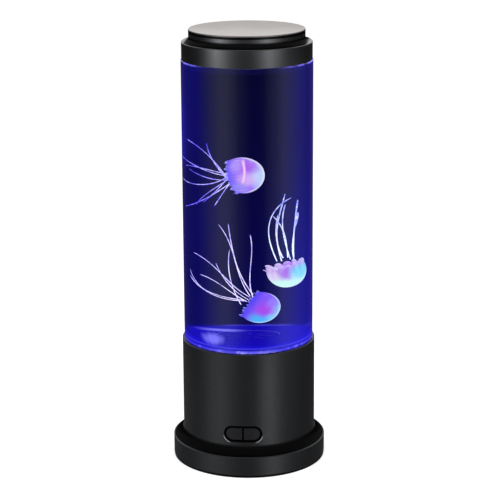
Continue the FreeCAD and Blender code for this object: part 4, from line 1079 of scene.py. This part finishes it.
# the shell that carries them: where one band gives way to the next, and the plain tones above
# and behind; the tank mirrors evenly, so its strips are far weaker than those of the plastic
surroundLook = {"radius": 2.2, "heights": [-2.2, -1.0, 0.0, 1.0, 2.6], "around": 96,
                "strength": 8.0, "tankScale": 0.090,
                "borders": {"base": (-0.82, -0.79), "tank": (-0.606, -0.596),
                            "lid": (-0.027, -0.021)},
                "cooler": (0.97, 1.0, 1.05), "plainUp": (0.15, 0.55), "plain": (0.10, 0.102, 0.105),
                "rearTurn": (138.0, 165.0), "rearUp": ((0.30, 0.50), (0.88, 1.08)),
                "rear": (0.118, 0.117, 0.116), "topUp": (2.3, 2.5), "top": (0.07, 0.07, 0.07)}


def surroundFinish():
    finish, look = Finish("soft strips and dark cards"), surroundLook
    across, away, up = finish.split(finish.place())
    turn = finish.sums("ARCTAN2", across, away * -1.0) * (180 / math.pi) - viewTurn
    turn = finish.sums("WRAP", turn, 180.0, -180.0)
    share = (turn + 180) / 360
    bands = {}
    for band, stops in surroundStops.items():
        ends = [(-180, stops[0][1])] + stops + [(180, stops[-1][1])]
        scale = (look["tankScale"] if band == "tank" else 1.0) / look["strength"]
        bands[band] = finish.steps(share, [((degrees + 180) / 360, (level * scale,) * 3)
                                           for degrees, level in ends])
    strips = bands["flange"]
    for band, border in look["borders"].items():
        strips = finish.blend(finish.ease(up, *border), strips, bands[band])
    strips = finish.blend(finish.ease(up, *look["plainUp"]), finish.tint(strips, look["cooler"]),
                          look["plain"])
    behind = finish.ease(finish.size(turn), *look["rearTurn"])
    behind = behind * finish.between(up, *look["rearUp"])
    strips = finish.blend(behind, strips, look["rear"])
    strips = finish.blend(finish.ease(up, *look["topUp"]), strips, look["top"])
    return finish.surface(finish.add("ShaderNodeEmission", None,
                                     {"Color": strips, "Strength": look["strength"]}))


def makeSurround():
    radius, heights = surroundLook["radius"], surroundLook["heights"]
    profile = ([(0, heights[0])] + [(radius, height) for height in heights]
               + [(0, heights[-1])])
    made = linked("surround", turnedMesh("surround", profile, surroundLook["around"], inward=True))
    made.data.materials.append(surroundFinish())
    made.visible_camera = False
    made.visible_diffuse = False
    made.visible_transmission = False
    made.visible_shadow = False
    made.visible_volume_scatter = False


lamps = {
    "key": {"place": (-0.9, -1.0, 1.1), "size": 0.7, "energy": 5.0},
    "fill": {"place": (1.0, -0.9, 0.9), "size": 0.8, "energy": 3.0},
    "overhead": {"place": (0.1, -0.1, 1.5), "size": 1.0, "energy": 5.0},
}
lampAim = (0, 0, 0.17)


def makeLamp(name, look):
    light = bpy.data.lights.new(name, "AREA")
    light.shape = "DISK"
    light.size = look["size"]
    light.energy = look["energy"]
    made = linked(name, light)
    made.location = look["place"]
    made.rotation_euler = (Vector(lampAim) - made.location).to_track_quat("-Z", "Y").to_euler()
    made.visible_camera = False
    made.visible_glossy = False


# metres and degrees; the yaw is how far it looks past the lamp's axis
cameraLook = {"distance": 1.3659, "height": 0.5277, "pitch": 14.82, "roll": -0.319,
              "yaw": 0.064, "lens": 130.25, "sensor": 36.0, "clip": (0.05, 20.0)}


def makeCamera():
    turn = math.radians(viewTurn)
    pitch = math.radians(cameraLook["pitch"])
    roll = math.radians(cameraLook["roll"])
    yaw = math.radians(viewTurn - cameraLook["yaw"])
    place = Vector((math.sin(turn) * cameraLook["distance"],
                    -math.cos(turn) * cameraLook["distance"], cameraLook["height"]))
    ahead = Vector((-math.sin(yaw) * math.cos(pitch), math.cos(yaw) * math.cos(pitch),
                    -math.sin(pitch)))
    right = ahead.cross(Vector((0, 0, 1))).normalized()
    up = right.cross(ahead)
    tiltedRight = right * math.cos(roll) + up * math.sin(roll)
    tiltedUp = up * math.cos(roll) - right * math.sin(roll)
    data = bpy.data.cameras.new("camera")
    data.sensor_width = cameraLook["sensor"]
    data.lens = cameraLook["lens"]
    data.clip_start, data.clip_end = cameraLook["clip"]
    made = linked("camera", data)
    made.matrix_world = Matrix((
        (tiltedRight.x, tiltedUp.x, -ahead.x, place.x),
        (tiltedRight.y, tiltedUp.y, -ahead.y, place.y),
        (tiltedRight.z, tiltedUp.z, -ahead.z, place.z), (0, 0, 0, 1)))
    bpy.context.scene.camera = made


makeFloor()
makeWorld()
makeSurround()
for lampName, look in lamps.items():
    makeLamp(lampName, look)
makeCamera()
bpy.context.scene.view_settings.view_transform = "Standard"
print("stage set")

bpy.context.view_layer.update()
